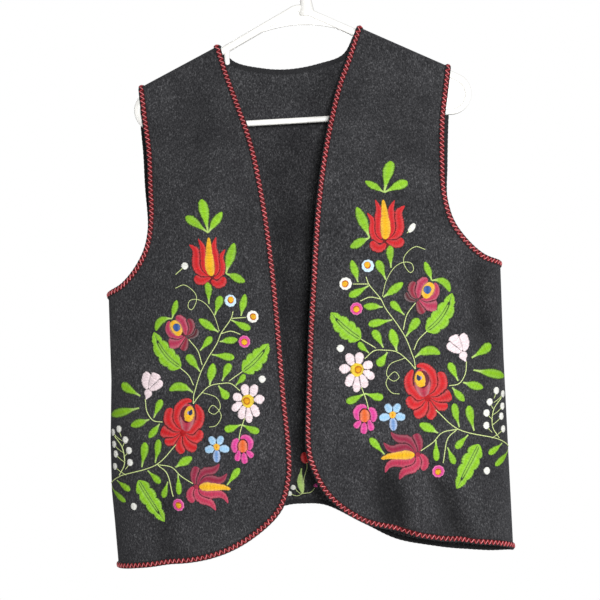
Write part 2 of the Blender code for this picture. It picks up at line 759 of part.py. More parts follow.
def strap_peg(sign):
    """A short peg below an arm, with a round foot, for a strap."""
    half = PEG_WIDTH / 2
    top = arm_middle(PEG_X)
    centre = (sign * PEG_X, PEG_BOTTOM + half)
    foot = arc(centre, half, math.pi, 2 * math.pi, PEG_FOOT_POINTS)
    outline = [point for point, _ in foot] + [(sign * PEG_X + half, top), (sign * PEG_X - half, top)]
    return plate(f"strap_peg_{'right' if sign > 0 else 'left'}", outline, PEG_THICKNESS)


def stem():
    """The foot of the hook's stem, which spreads into the apex."""
    path = [((STEM_X, z), (0, 1)) for z, _ in STEM_STATIONS]
    spread = STEM_FOOT_RADIUS - STEM_RADIUS
    radii = [STEM_RADIUS + share * spread for _, share in STEM_STATIONS]
    depths = [radius * STEM_DEPTH_SHARE for radius in radii]
    return tube("stem", sections(path, radii, depths, STEM_SIDES), False, plastic)


hanger_body = hanger_frame()
for piece in (apex_web(), end_web(-1), end_web(1), strap_peg(-1), strap_peg(1), stem()):
    union = hanger_body.modifiers.new(piece.name, "BOOLEAN")
    union.operation = "UNION"
    union.object = piece
    piece.hide_render = True
    piece.display_type = "WIRE"


def hook():
    """The hook: a collar on the stem, an S up to the side of the bend, and the bend itself."""
    radius = SEAT_RADIUS + HOOK_BAR_RADIUS
    bend = arc((0, -SEAT_RADIUS), radius, HOOK_START, HOOK_END, BEND_POINTS)
    (start_x, start_z), (travel_x, travel_z) = bend[0]
    foot = STEM_TOP + SEAM_GAP
    shank = foot + HOOK_COLLAR_HEIGHT
    controls = [
        (STEM_X, shank + SHANK_STRAIGHT),
        (STEM_X, shank + SHANK_REACH),
        (start_x - travel_x * SHANK_REACH / 2, start_z - travel_z * SHANK_REACH / 2),
        (start_x, start_z),
    ]
    path = [((STEM_X, z), (0, 1)) for z in (foot, shank)]
    for t in np.linspace(0, 1, SHANK_POINTS)[:-1]:
        weights = [(1 - t) ** 3, 3 * t * (1 - t) ** 2, 3 * t * t * (1 - t), t**3]
        slopes = [-3 * (1 - t) ** 2, 3 * (1 - t) * (1 - 3 * t), 3 * t * (2 - 3 * t), 3 * t * t]
        point = [sum(w * c[k] for w, c in zip(weights, controls)) for k in (0, 1)]
        slope = [sum(w * c[k] for w, c in zip(slopes, controls)) for k in (0, 1)]
        length = math.hypot(*slope)
        path.append((tuple(point), (slope[0] / length, slope[1] / length)))
    path += bend
    radii = [HOOK_COLLAR_RADIUS] * 2 + [HOOK_BAR_RADIUS] * (len(path) - 2)
    radii[-1] *= HOOK_TIP_SHARE
    return tube("hanger_hook", sections(path, radii, radii, BAR_SIDES), False, plastic)


hook()
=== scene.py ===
import math

import bpy
import numpy as np
from mathutils import Matrix, Vector


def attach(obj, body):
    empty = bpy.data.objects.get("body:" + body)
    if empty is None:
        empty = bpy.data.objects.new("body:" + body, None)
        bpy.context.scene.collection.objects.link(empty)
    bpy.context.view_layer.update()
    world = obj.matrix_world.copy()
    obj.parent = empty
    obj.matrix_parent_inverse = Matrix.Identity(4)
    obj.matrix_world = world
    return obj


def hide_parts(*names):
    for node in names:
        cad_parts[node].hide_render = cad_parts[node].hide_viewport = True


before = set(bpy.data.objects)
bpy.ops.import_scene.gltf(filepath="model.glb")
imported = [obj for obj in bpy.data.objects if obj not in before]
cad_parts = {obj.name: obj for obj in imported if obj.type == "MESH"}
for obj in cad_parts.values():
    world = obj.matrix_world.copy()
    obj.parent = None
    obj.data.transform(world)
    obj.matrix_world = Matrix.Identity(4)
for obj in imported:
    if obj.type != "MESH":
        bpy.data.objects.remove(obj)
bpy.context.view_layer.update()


# ---------------------------------------------------------------- hanger
# A white plastic coat hanger, injection moulded in one piece: a closed bar with sloping arms
# and round ends, thin webs in its corners, two strap pegs, and a hook on a spread stem.
ARM_SLOPE = math.radians(27)
ARM_HEIGHT, BAR_HEIGHT = 0.0092, 0.0072  # of the bar, in the arms and below
ARM_THICKNESS = 0.008
END_X, END_Z, END_RADIUS = 0.1845, -0.1976, 0.0268  # round ends, outer radius
APEX_RADIUS = 0.012
WEB_HALF_THICKNESS = 0.0018
ARCH_HALF_WIDTH, ARCH_TOP = 0.046, -0.1005  # lower edge of the web at the apex
END_WEB_X, END_WEB_HOLLOW, END_WEB_LEAST = 0.142, 0.010, 0.0004
PEG_X, PEG_BOTTOM, PEG_HALF_THICKNESS = 0.0915, -0.1455, 0.0024
PEG_WAIST, PEG_SPREAD, PEG_FLARE = 0.0029, 0.0022, 0.0006  # half width, more above, more below
PEG_FOOT = 0.14  # share of its length that is rounded
END_POINTS, APEX_POINTS = 30, 9
STEM_X, STEM_TOP, STEM_FLATNESS = 0.011, -0.0600, 0.72
STEM_SHAPE = [  # height, radius
    (-0.0900, 0.0091),
    (-0.0840, 0.0098),
    (-0.0780, 0.0086),
    (-0.0700, 0.0071),
    (STEM_TOP, 0.0062),
]
SEAT_RADIUS, HOOK_BAR_RADIUS = 0.021, 0.004
HOOK_START, HOOK_END = math.radians(-48), math.radians(197)
COLLAR_GAP, COLLAR_HEIGHT, COLLAR_RADIUS, COLLAR_EDGE = 0.0003, 0.0035, 0.0056, 0.0006
SHANK_STRAIGHT, SHANK_REACH = 0.001, 0.010  # above the collar: straight, then the curve's pull
TIP = [0.98, 0.92, 0.82, 0.66, 0.38]  # shares of the bar's radius


def turned_out(points, quads, ends):
    """The same faces, all reversed where the signed volume of their cones to the first point,
    the sum of a . (b x c) over each face's two triangles, is negative."""
    a, b, c, d = (points[quads[:, k]] - points[0] for k in range(4))
    volume = np.einsum("ij,ij->", a, np.cross(b, c)) + np.einsum("ij,ij->", a, np.cross(c, d))
    return (quads, ends) if volume > 0 else (quads[:, ::-1], [end[::-1] for end in ends])


def skin(sections, closed):
    """(points, four-sided faces, end faces) over the sections of a swept form. Each section is
    a closed loop of points. A form that is closed on itself has no end faces."""
    count, sides = sections.shape[:2]
    ring = np.arange(count * sides).reshape(count, sides)
    after = np.vstack([ring, ring[:1]]) if closed else ring
    near, far = after[:-1], after[1:]
    quads = np.stack([near, np.roll(near, -1, 1), np.roll(far, -1, 1), far], axis=-1)
    points = sections.reshape(-1, 3)
    ends = [] if closed else [ring[0, ::-1], ring[-1]]
    return points, *turned_out(points, quads.reshape(-1, 4), ends)


def joined(forms):
    """Several forms' points and faces as those of one."""
    starts = np.cumsum([0] + [len(points) for points, _, _ in forms])
    points = np.vstack([points for points, _, _ in forms])
    quads = np.vstack([quads + start for (_, quads, _), start in zip(forms, starts)])
    return points, quads, [end + at for (_, _, ends), at in zip(forms, starts) for end in ends]


def make_piece(name, form, finish, dye_and_light=None, strand=None):
    """A smooth-shaded mesh of a form's points, four-sided faces and end faces, which rides on
    the one body. Each point may have its own dye with its painted light (a colour) and place on
    its strand (a UV)."""
    points, quads, ends = form
    corners = np.concatenate([quads.ravel(), *ends]).astype(np.int32)
    sizes = np.array([4] * len(quads) + [len(end) for end in ends])
    mesh = bpy.data.meshes.new(name)
    mesh.vertices.add(len(points))
    mesh.vertices.foreach_set("co", np.asarray(points, np.float32).ravel())
    mesh.loops.add(len(corners))
    mesh.loops.foreach_set("vertex_index", corners)
    mesh.polygons.add(len(sizes))
    mesh.polygons.foreach_set("loop_start", (np.cumsum(sizes) - sizes).astype(np.int32))
    mesh.update(calc_edges=True)
    mesh.shade_smooth()
    if dye_and_light is not None:
        colours = np.hstack([dye_and_light, np.ones((len(dye_and_light), 1))]).astype(np.float32)
        dyes_and_light = mesh.attributes.new("dye_and_light", "FLOAT_COLOR", "POINT").data
        dyes_and_light.foreach_set("color", colours.ravel())
        places = np.asarray(strand, np.float32)[corners]
        mesh.uv_layers.new(name="strand").data.foreach_set("uv", places.ravel())
    mesh.materials.append(finish)
    made = bpy.data.objects.new(name, mesh)
    bpy.context.scene.collection.objects.link(made)
    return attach(made, "root")


class Finish:
    """A material with its nodes: put() adds one, set() fills a socket with a value or a link."""

    def __init__(self, name):
        self.material = bpy.data.materials.new(name)
        self.material.use_nodes = True
        self.tree = self.material.node_tree
        self.shader = self.tree.nodes["Principled BSDF"]

    def put(self, kind, settings=None, **inputs):
        node = self.tree.nodes.new("ShaderNode" + kind)
        for name, value in (settings or {}).items():
            setattr(node, name, value)
        for name, value in inputs.items():
            self.set(node, name.replace("_", " "), value)
        return node

    def set(self, node, name, value):
        socket = node.inputs[int(name[2:])] if name.startswith("at") else node.inputs[name]
        if isinstance(value, bpy.types.NodeSocket):
            self.tree.links.new(value, socket)
        else:
            socket.default_value = value

    def surface(self, **inputs):
        """Fills sockets of the shader itself."""
        for name, value in inputs.items():
            self.set(self.shader, name.replace("_", " "), value)

    def noise(self, place, scale, detail=2.0, roughness=0.5, stretch=(1, 1, 1)):
        """Noise between 0 and 1 on a place, with scale in waves a metre of that place."""
        spread = self.put("Mapping", Vector=place, Scale=stretch).outputs[0]
        grain = {"Scale": scale, "Detail": detail, "Roughness": roughness}
        return self.put("TexNoise", Vector=spread, **grain).outputs[0]

    def ramp(self, value, *stops):
        """The value read off a row of (place, colour) stops."""
        made = self.put("ValToRGB", Fac=value)
        spots = made.color_ramp.elements
        for spot, (place, colour) in zip((spots[0], spots[1]), (stops[0], stops[-1])):
            spot.position, spot.color = place, (*colour, 1)
        for place, colour in stops[1:-1]:
            spots.new(place).color = (*colour, 1)
        return made.outputs[0]

    def sums(self, operation, a, b):
        """The sum of two values, or what another operation makes of them."""
        return self.put("Math", {"operation": operation}, at0=a, at1=b).outputs[0]

    def times(self, colour, share):
        """The colour multiplied by another, or by a plain share."""
        kind = {"data_type": "RGBA", "blend_type": "MULTIPLY"}
        return self.put("Mix", kind, Factor=1.0, at6=colour, at7=share).outputs[2]

    def bump(self, height, distance, strength=1.0):
        made = self.put("Bump", Height=height, Distance=distance, Strength=strength)
        self.surface(Normal=made.outputs[0])


def plastic_finish():
    """Off-white polypropylene: a faint cloudiness, and a fine eggshell grain from the mould."""
    finish = Finish("moulded_plastic")
    place = finish.put("TexCoord").outputs["Object"]
    cloud = finish.noise(place, 28, 2)
    grain = finish.noise(place, 1500, 2)
    colour = finish.ramp(cloud, (0.3, (0.80, 0.79, 0.76)), (0.7, (0.86, 0.85, 0.82)))
    rough = finish.put("MapRange", Value=grain, To_Min=0.28, To_Max=0.46).outputs[0]
    finish.surface(Base_Color=colour, Roughness=rough, Specular_IOR_Level=0.45)
    finish.bump(grain, 0.00005, 0.5)
    return finish.material


plastic = plastic_finish()


def unit(vectors):
    """The vectors in their last axis, each made one long."""
    return vectors / np.linalg.norm(vectors, axis=-1, keepdims=True)


def rounded(sides, squareness=1):
    """The corners |cos w| ** squareness and |sin w| ** squareness, each with its own sign, of a
    rounded rectangle, w going round. A squareness of 1 is a circle."""
    turn = np.arange(sides) * 2 * np.pi / sides
    return [np.sign(wave) * np.abs(wave) ** squareness for wave in (np.cos(turn), np.sin(turn))]


def bar_sections(centres, travels, half_high, half_thick, sides=20, squareness=0.5):
    """Closed rounded sections across a path in the XZ plane."""
    high, thick = rounded(sides, squareness)
    half_high, half_thick = (np.broadcast_to(v, len(centres)) for v in (half_high, half_thick))
    across = np.stack([-travels[:, 1], travels[:, 0]], axis=-1)[:, None]
    xz = centres[:, None] + across * (half_high[:, None] * high)[..., None]
    return np.stack([xz[..., 0], half_thick[:, None] * thick, xz[..., 1]], axis=-1)


def arc(centre, radius, start, end, count):
    """Points on an arc in the XZ plane, and the directions of travel there."""
    angle = np.linspace(start, end, count)[:, None]
    way = 1 if end > start else -1
    points = np.array(centre) + radius * np.hstack([np.cos(angle), np.sin(angle)])
    return points, way * np.hstack([-np.sin(angle), np.cos(angle)])


def arm_middle(x):
    """Height of an arm's middle line: straight down from the apex at the arms' slope."""
    peak = END_Z + END_RADIUS / math.cos(ARM_SLOPE) + END_X * math.tan(ARM_SLOPE)
    return peak - np.abs(x) * math.tan(ARM_SLOPE) - ARM_HEIGHT / 2 / math.cos(ARM_SLOPE)


end_radius = END_RADIUS - ARM_HEIGHT / 2
upright = math.pi / 2
apex_z = arm_middle(0) - APEX_RADIUS / math.cos(ARM_SLOPE)
parts = [
    arc((END_X, END_Z), end_radius, -upright, upright - ARM_SLOPE, END_POINTS),
    arc((0, apex_z), APEX_RADIUS, upright - ARM_SLOPE, upright + ARM_SLOPE, APEX_POINTS),
    arc((-END_X, END_Z), end_radius, upright + ARM_SLOPE, 3 * upright, END_POINTS),
]
centres, travels = (np.vstack([part[k] for part in parts]) for k in (0, 1))
grow = np.linspace(BAR_HEIGHT / 2, ARM_HEIGHT / 2, END_POINTS)
half_high = np.concatenate([grow, np.full(APEX_POINTS, ARM_HEIGHT / 2), grow[::-1]])
frame_parts = [skin(bar_sections(centres, travels, half_high, ARM_THICKNESS / 2), True)]

# The web under the apex lies between the arched lower edge and the arms' middle lines.
web_x = np.linspace(-ARCH_HALF_WIDTH, ARCH_HALF_WIDTH, 61)
arch_low = arm_middle(ARCH_HALF_WIDTH) - ARM_HEIGHT / 2 / math.cos(ARM_SLOPE)
arch = ARCH_TOP - (ARCH_TOP - arch_low) * (web_x / ARCH_HALF_WIDTH) ** 2
web_top = np.minimum(arm_middle(web_x), arm_middle(APEX_RADIUS / 2))
arch_middles = np.stack([web_x, (arch + web_top) / 2], axis=-1)
half_high = (web_top - arch) / 2
level = np.tile([1.0, 0.0], (len(web_x), 1))
frame_parts.append(
    skin(bar_sections(arch_middles, level, half_high, WEB_HALF_THICKNESS, squareness=0.25), False)
)
share = np.linspace(0, 1, 41)
upward = np.tile([0.0, 1.0], (len(share), 1))
for way in (-1, 1):
    # A web fills each round end, from a hollow inner edge to the bar's middle line.
    web_bottom = END_Z - end_radius
    web_z = web_bottom + END_WEB_LEAST + share * (arm_middle(END_WEB_X) - web_bottom)
    inner = END_WEB_X + END_WEB_HOLLOW * np.sin(np.pi * share)
    on_arc = END_X + np.sqrt(np.maximum(end_radius**2 - (web_z - END_Z) ** 2, 0))
    on_arm = (arm_middle(0) - web_z) / math.tan(ARM_SLOPE)
    outer = np.maximum(np.minimum(on_arc, on_arm), inner + END_WEB_LEAST)
    middles = np.stack([way * (inner + outer) / 2, web_z], axis=-1)
    wide = (outer - inner) / 2
    frame_parts.append(
        skin(bar_sections(middles, upward, wide, WEB_HALF_THICKNESS, squareness=0.25), False)
    )
    # A strap peg hangs below each arm: a short waisted tongue with a round foot.
    peg_z = arm_middle(PEG_X) + share * (PEG_BOTTOM - arm_middle(PEG_X))
    below = ((share - 1 + PEG_FOOT) / PEG_FOOT).clip(0, 1)
    foot = np.sqrt(np.clip(1 - below**2, 0.01, 1))
    wide = PEG_WAIST + PEG_SPREAD * np.exp(-((share / 0.22) ** 2)) + PEG_FLARE * share
    middles = np.stack([np.full_like(share, way * PEG_X), peg_z], axis=-1)
    peg = bar_sections(middles, -upward, wide * foot, PEG_HALF_THICKNESS, squareness=0.6)
    frame_parts.append(skin(peg, False))

# The stem: its foot spreads from inside the apex, then it narrows to the neck below the hook.
stem_z = np.linspace(STEM_SHAPE[0][0], STEM_TOP, len(share))
stem_radius = np.interp(stem_z, *np.transpose(STEM_SHAPE))
middles = np.stack([np.full_like(stem_z, STEM_X), stem_z], axis=-1)
stem_depth = stem_radius * STEM_FLATNESS
stem = bar_sections(middles, upward, stem_radius, stem_depth, sides=32, squareness=1)
frame_parts.append(skin(stem, False))
hanger_frame = make_piece("hanger_frame", joined(frame_parts), plastic)
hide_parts("hanger_body")


def hook_sections():
    """The hook's round bar: a collar on the stem, a cubic curve out to the side of the bend,
    and the bend itself, which ends in a rounded tip."""
    radius = SEAT_RADIUS + HOOK_BAR_RADIUS
    bend, bend_travel = arc((0, -SEAT_RADIUS), radius, HOOK_START, HOOK_END, 60)
    foot = STEM_TOP + COLLAR_GAP
    top = foot + COLLAR_HEIGHT
    pull = [(STEM_X, top + SHANK_STRAIGHT), (STEM_X, top + SHANK_REACH)]
    pull = np.array([*pull, bend[0] - bend_travel[0] * SHANK_REACH / 2, bend[0]])
    t = np.linspace(0, 1, 16)[:-1, None]
    rise = (1 - t) ** 3 * pull[0] + 3 * t * (1 - t) ** 2 * pull[1]
    rise = rise + 3 * t * t * (1 - t) * pull[2] + t**3 * pull[3]
    collar = [(STEM_X, foot), (STEM_X, top - COLLAR_EDGE), (STEM_X, top)]
    centres = np.vstack([collar, rise, bend])
    travels = unit(np.vstack([[(0, 1)] * 3, np.gradient(rise, axis=0), bend_travel]))
    radii = np.full(len(centres), HOOK_BAR_RADIUS)
    radii[:3] = COLLAR_RADIUS, COLLAR_RADIUS, COLLAR_RADIUS - COLLAR_EDGE
    radii[-len(TIP) :] *= TIP
    return bar_sections(centres, travels, radii, radii, sides=24, squareness=1)


hook = make_piece("hanger_hook_bar", skin(hook_sections(), False), plastic)
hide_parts("hanger_hook")


# ---------------------------------------------------------------- felt fronts
# The two fronts, cut from 2.5 mm charcoal wool felt. Each hangs from the hanger's arm, turns
# over it in a quarter round, and spreads downwards to the depth of a loosely filled body.
FELT = 0.0025
FULL_FOLD_SHADE = {-1: 0.0105, 1: 0.0280}  # depth of fold that gets the full painted shade, in front and behind
FOLD_SHADE_TONE = 0.40  # share of the felt's own colour that is left in the deepest folds: painted shade
BAND_WIDTH = 0.0080
TUCK = 0.0020  # of the felt's cut edge, inside its band
ARM_CLEARANCE = 0.0008
WRAP_RADIUS = ARM_THICKNESS / 2 + ARM_CLEARANCE + FELT
WRAP_LENGTH = WRAP_RADIUS * math.pi / 2
SPREAD_HEIGHT = 0.190
FULL_FOLD_DEPTH = 0.02  # of the body, below which the folds grow shallower
RIPPLE, SWELL = 0.00022, 0.00035  # how uneven the felt is everywhere
TOP = SIDE = math.inf  # ends of the edges below: the shoulder seam and the side seam


def columns_of(names, rows):
    """A table's named columns, each as an array."""
    return dict(zip(names.split(), np.array(rows, float).T))


def edge_through(*places):
    """An edge's places (x, height), as named columns."""
    return columns_of("x height", places)


SHOULDER = edge_through(
    (-0.2100, -0.1712),
    (-0.1047, -0.1222),
    (-0.0800, -0.1096),
    (0.0570, -0.0982),
    (0.0790, -0.1094),
    (0.2100, -0.1762),
)
# The body's ring (x / a) ** 4 + (y / b) ** 2 = 1 at each height, from the hem upwards.
RING = columns_of(
    "height left_side right_side front_depth back_depth",
    [
        (-0.780, -0.2622, 0.2302, 0.058, 0.036),
        (-0.705, -0.2644, 0.2308, 0.057, 0.036),
        (-0.667, -0.2660, 0.2310, 0.056, 0.035),
        (-0.605, -0.2640, 0.2314, 0.054, 0.034),
        (-0.530, -0.2587, 0.2320, 0.051, 0.033),
        (-0.420, -0.2560, 0.2345, 0.048, 0.031),
        (-0.100, -0.2560, 0.2345, 0.046, 0.030),
    ],
)
# Long soft folds, pressed in, on the front (-1) and the back (1). A negative depth stands out.
FOLDS = {
    -1: columns_of(
        "x top bottom half_width depth",
        [
            (0.108, -0.600, -0.800, 0.014, -0.0035),
            (-0.197, -0.640, -0.800, 0.017, 0.0060),
        ],
    ),
    1: columns_of(
        "x top bottom half_width depth",
        [
            (-0.026, -0.250, -0.690, 0.016, 0.0080),
            (0.060, -0.420, -0.800, 0.024, -0.0040),
            (-0.110, -0.460, -0.800, 0.024, -0.0040),
            (-0.175, -0.500, -0.800, 0.020, 0.0040),
            (0.150, -0.520, -0.800, 0.022, 0.0045),
        ],
    ),
}
# Creases, each a soft trough along a line between two places of the cloth.
CREASES = {
    -1: columns_of(
        "x0 height0 x1 height1 half_width depth",
        [
            (-0.196, -0.300, -0.150, -0.370, 0.012, 0.0012),
            (-0.225, -0.430, -0.168, -0.455, 0.011, 0.0014),
            (-0.250, -0.500, -0.190, -0.560, 0.014, 0.0012),
            (-0.110, -0.165, -0.128, -0.270, 0.010, 0.0009),
            (-0.060, -0.360, -0.090, -0.470, 0.013, 0.0009),
            (-0.070, -0.640, -0.150, -0.700, 0.013, 0.0013),
            (-0.215, -0.640, -0.232, -0.760, 0.012, 0.0018),
            (0.160, -0.290, 0.118, -0.370, 0.012, 0.0012),
            (0.205, -0.415, 0.150, -0.470, 0.013, 0.0014),
            (0.085, -0.160, 0.098, -0.260, 0.010, 0.0009),
            (0.222, -0.480, 0.196, -0.600, 0.012, 0.0016),
            (0.030, -0.380, 0.052, -0.500, 0.013, 0.0009),
            (0.020, -0.600, 0.070, -0.690, 0.014, 0.0013),
            (0.185, -0.640, 0.196, -0.760, 0.014, 0.0006),
            (0.074, -0.660, 0.092, -0.800, 0.0185, 0.0140),
            (0.202, -0.425, 0.203, -0.500, 0.0150, 0.0090),
            (0.133, -0.655, 0.170, -0.770, 0.0130, 0.0100),
        ],
    ),
    1: columns_of(
        "x0 height0 x1 height1 half_width depth",
        [
            (-0.185, -0.260, -0.120, -0.340, 0.015, 0.0016),
            (0.160, -0.250, 0.105, -0.330, 0.015, 0.0016),
            (-0.225, -0.440, -0.150, -0.520, 0.016, 0.0018),
            (0.205, -0.430, 0.130, -0.500, 0.016, 0.0018),
            (-0.060, -0.170, -0.085, -0.300, 0.013, 0.0010),
            (0.045, -0.170, 0.060, -0.290, 0.013, 0.0010),
            (-0.215, -0.600, -0.165, -0.740, 0.015, 0.0016),
            (0.190, -0.600, 0.140, -0.740, 0.015, 0.0016),
            (0.010, -0.480, 0.020, -0.680, 0.015, 0.0014),
        ],
    ),
}
# The middle of the edge band along each free edge, from the shoulder seam to the side seam.
FRONT_EDGE = {
    "left": edge_through(
        (-0.1040, TOP),
        (-0.0933, -0.160),
        (-0.0815, -0.199),
        (-0.0660, -0.2565),
        (-0.0552, -0.332),
        (-0.0480, -0.442),
        (-0.0451, -0.551),
        (-0.0420, -0.624),
        (-0.0447, -0.660),
        (-0.0582, -0.695),
        (-0.1000, -0.729),
        (-0.1410, -0.745),
        (-0.2050, -0.753),
        (-SIDE, -0.760),
    ),
    "right": edge_through(
        (0.0775, TOP),
        (0.0602, -0.150),
        (0.0454, -0.187),
        (0.0248, -0.262),
        (0.0111, -0.336),
        (-0.0061, -0.481),
        (-0.0125, -0.553),
        (-0.0173, -0.625),
        (-0.0129, -0.646),
        (0.0043, -0.681),
        (0.0406, -0.711),
        (0.1046, -0.733),
        (0.1520, -0.744),
        (0.2060, -0.754),
        (SIDE, -0.766),
    ),
}
CORNER = {"left": (-0.0582, -0.695), "right": (0.0043, -0.681)}  # where the edge turns to the hem
ARMHOLE = {
    "left": edge_through(
        (-0.2003, TOP),
        (-0.1970, -0.210),
        (-0.1930, -0.250),
        (-0.1924, -0.290),
        (-0.1936, -0.3415),
        (-0.2039, -0.378),
        (-0.2329, -0.413),
        (-SIDE, -0.426),
    ),
    "right": edge_through(
        (0.1839, TOP),
        (0.1776, -0.194),
        (0.1706, -0.231),
        (0.1655, -0.285),
        (0.1647, -0.325),
        (0.1743, -0.363),
        (0.2078, -0.402),
        (SIDE, -0.4145),
    ),
}

RING_HEIGHTS = np.linspace(-0.80, -0.08, 145)
CHART_STEPS = 193


def ring_sizes(height, side):
    """(middle x, half width, depth) of the ring at these heights, read off its table."""
    order = np.argsort(RING["height"])
    names = ("left_side", "right_side", "front_depth" if side < 0 else "back_depth")
    low, high, depth = (np.interp(height, RING["height"][order], RING[n][order]) for n in names)
    return (low + high) / 2, (high - low) / 2, depth


def ring_at(turn, half_width, depth):
    """The ring at its turn w from the middle: x = a sin w, y = b cos w * sqrt(1 + sin w ** 2)."""
    return half_width * np.sin(turn), depth * np.cos(turn) * np.sqrt(1 + np.sin(turn) ** 2)


def ring_charts(side):
    """Two charts with a row for each of RING_HEIGHTS: the length round the ring up to equal
    steps of its turn, and the turn at equal steps of that length."""
    _, half_width, depth = ring_sizes(RING_HEIGHTS, side)
    turn = np.linspace(0, math.pi / 2, CHART_STEPS)
    x, y = ring_at(turn, half_width[:, None], depth[:, None])
    steps = np.hypot(np.diff(x), np.diff(y))
    lengths = np.hstack([np.zeros((len(x), 1)), np.cumsum(steps, axis=1)])
    turns = [np.interp(np.linspace(0, row[-1], CHART_STEPS), row, turn) for row in lengths]
    return lengths, np.array(turns)


CHARTS = {-1: ring_charts(-1), 1: ring_charts(1)}


def read_chart(chart, height, share):
    """The chart at a height and at a share of its row, straight between its four neighbours."""
    row = np.interp(height, RING_HEIGHTS, np.arange(len(RING_HEIGHTS)))
    column = np.clip(share, 0, 1) * (CHART_STEPS - 1)
    r, c = (np.minimum(v.astype(int), n - 2) for v, n in zip((row, column), chart.shape))
    a, b = row - r, column - c
    above = chart[r, c] * (1 - b) + chart[r, c + 1] * b
    return above * (1 - a) + (chart[r + 1, c] * (1 - b) + chart[r + 1, c + 1] * b) * a


def side_seam(height, side):
    """Length round the ring from its middle to a side seam."""
    return np.interp(height, RING_HEIGHTS, CHARTS[side][0][:, -1])


def along_at(x, height, side):
    """Length round the ring of the place that lies at x, at this height."""
    middle, half_width, _ = ring_sizes(height, side)
    reach = np.clip((x - middle) / half_width, -1, 1)
    share = np.arcsin(np.abs(reach)) / (math.pi / 2)
    return np.sign(reach) * read_chart(CHARTS[side][0], height, share)


def ring_place(along, height, side):
    """(x, depth) of the ring at this length from its middle."""
    middle, half_width, depth = ring_sizes(height, side)
    turn = read_chart(CHARTS[side][1], height, np.abs(along) / side_seam(height, side))
    x, depth = ring_at(turn, half_width, depth)
    return middle + np.sign(along) * x, depth


def smooth(value):
    """0 to 1 with a level start and end: (1 - cos pi t) / 2."""
    return (1 - np.cos(math.pi * np.clip(value, 0, 1))) / 2


def shoulder_top(x):
    """Height of the felt where it lies over the hanger's arm."""
    return np.interp(x, SHOULDER["x"], SHOULDER["height"])


def flat_top(x):
    """Height coordinate of the seam on top of the shoulder, as if the cloth were flat."""
    return shoulder_top(x) + (math.pi / 2 - 1) * WRAP_RADIUS


def pressed_in(x, height, side):
    """Depth of the folds and creases: each is a trough exp(-(distance / half width) ** 2)
    across its line. A fold fades in over the top 30 % of its run, and a crease at both ends.
    Two products of sines make the felt a little uneven everywhere."""
    total = np.zeros_like(x)
    for middle, top, bottom, half_width, depth in zip(*FOLDS[side].values()):
        run = smooth((top - height) / (0.3 * (top - bottom)))
        total += depth * run * np.exp(-(((x - middle) / half_width) ** 2))
    for x0, z0, x1, z1, half_width, depth in zip(*CREASES[side].values()):
        run = np.hypot(x1 - x0, z1 - z0)
        share = ((x - x0) * (x1 - x0) + (height - z0) * (z1 - z0)) / run**2
        off = ((x - x0) * (z1 - z0) - (height - z0) * (x1 - x0)) / run
        ends = smooth((share + 0.35) / 0.6) * smooth((1.35 - share) / 0.6)
        total += depth * ends * np.exp(-((off / half_width) ** 2))
    fine = np.sin(x * 210 + 3 * np.sin(height * 61)) * np.sin(height * 173 + 2 * np.sin(x * 83))
    broad = np.sin(x * 71 + height * 39) * np.sin(height * 57)
    return total + RIPPLE * fine + SWELL * broad


def cloth(along, height, side):
    """The felt's outer face at (length round the ring, height). side is -1 on the front and +1
    on the back. From the seam on top of the hanger's arm it goes down through a quarter round,
    then its depth spreads from the arm's to the ring's with a cosine."""
    along, height = np.broadcast_arrays(np.asarray(along, float), np.asarray(height, float))
    x, ring_depth = ring_place(along, height, side)
    fall = flat_top(x) - height
    turn = np.minimum(fall / WRAP_RADIUS, math.pi / 2)
    spread = smooth((fall - WRAP_LENGTH) / SPREAD_HEIGHT)
    depth = WRAP_RADIUS * np.sin(turn) + (ring_depth - WRAP_RADIUS) * spread
    open_enough = np.clip(ring_depth / FULL_FOLD_DEPTH, 0, 1)
    depth = depth - pressed_in(x, height, side) * spread * open_enough
    z = np.where(fall < WRAP_LENGTH, shoulder_top(x) - WRAP_RADIUS * (1 - np.cos(turn)), height)
    return np.stack([x, side * depth, z], axis=-1)


def outward(along, height, side, step=0.001):
    """Unit normal of the felt's outer face, across its slopes both ways."""
    across = cloth(along + step, height, side) - cloth(along - step, height, side)
    down = cloth(along, height - step, side) - cloth(along, height + step, side)
    return unit(np.cross(down, across) * -side)


def cloth_points(edge, side):
    """An edge's points as (along, height) pairs."""
    x, height = edge["x"].copy(), edge["height"].copy()
    on_top, at_side = np.isinf(height), np.isinf(x)
    height[on_top] = flat_top(x[on_top])
    seam = np.sign(x) * side_seam(height, side)
    along = along_at(np.where(at_side, 0, x), height, side)
    return np.stack([np.where(at_side, seam, along), height], axis=-1)


def smooth_curve(points, per_span=12):
    """A centripetal Catmull-Rom curve through the points, per_span points on each span."""
    ends = np.vstack([2 * points[0] - points[1], points, 2 * points[-1] - points[-2]])
    pieces = []
    for a, b, c, d in zip(ends[:-3], ends[1:-2], ends[2:-1], ends[3:]):
        t1, t2, t3 = np.cumsum([np.linalg.norm(q - p) ** 0.5 for p, q in ((a, b), (b, c), (c, d))])
        t = np.linspace(t1, t2, per_span, endpoint=False)[:, None]
        p = (t1 - t) / t1 * a + t / t1 * b
        q = (t2 - t) / (t2 - t1) * b + (t - t1) / (t2 - t1) * c
        r = (t3 - t) / (t3 - t2) * c + (t - t2) / (t3 - t2) * d
        s = (t2 - t) / t2 * p + t / t2 * q
        u = (t3 - t) / (t3 - t1) * q + (t - t1) / (t3 - t1) * r
        pieces.append((t2 - t) / (t2 - t1) * s + (t - t1) / (t2 - t1) * u)
    return np.vstack(pieces + [points[-1:]])


def lengths_of(curve):
    """Length along the curve up to each of its points."""
    return np.concatenate([[0], np.cumsum(np.linalg.norm(np.diff(curve, axis=0), axis=1))])


def read_off(curve, at, where):
    """The curve's points, known at the values at, read off where they are asked for."""
    return np.stack([np.interp(where, at, column) for column in curve.T], axis=-1)


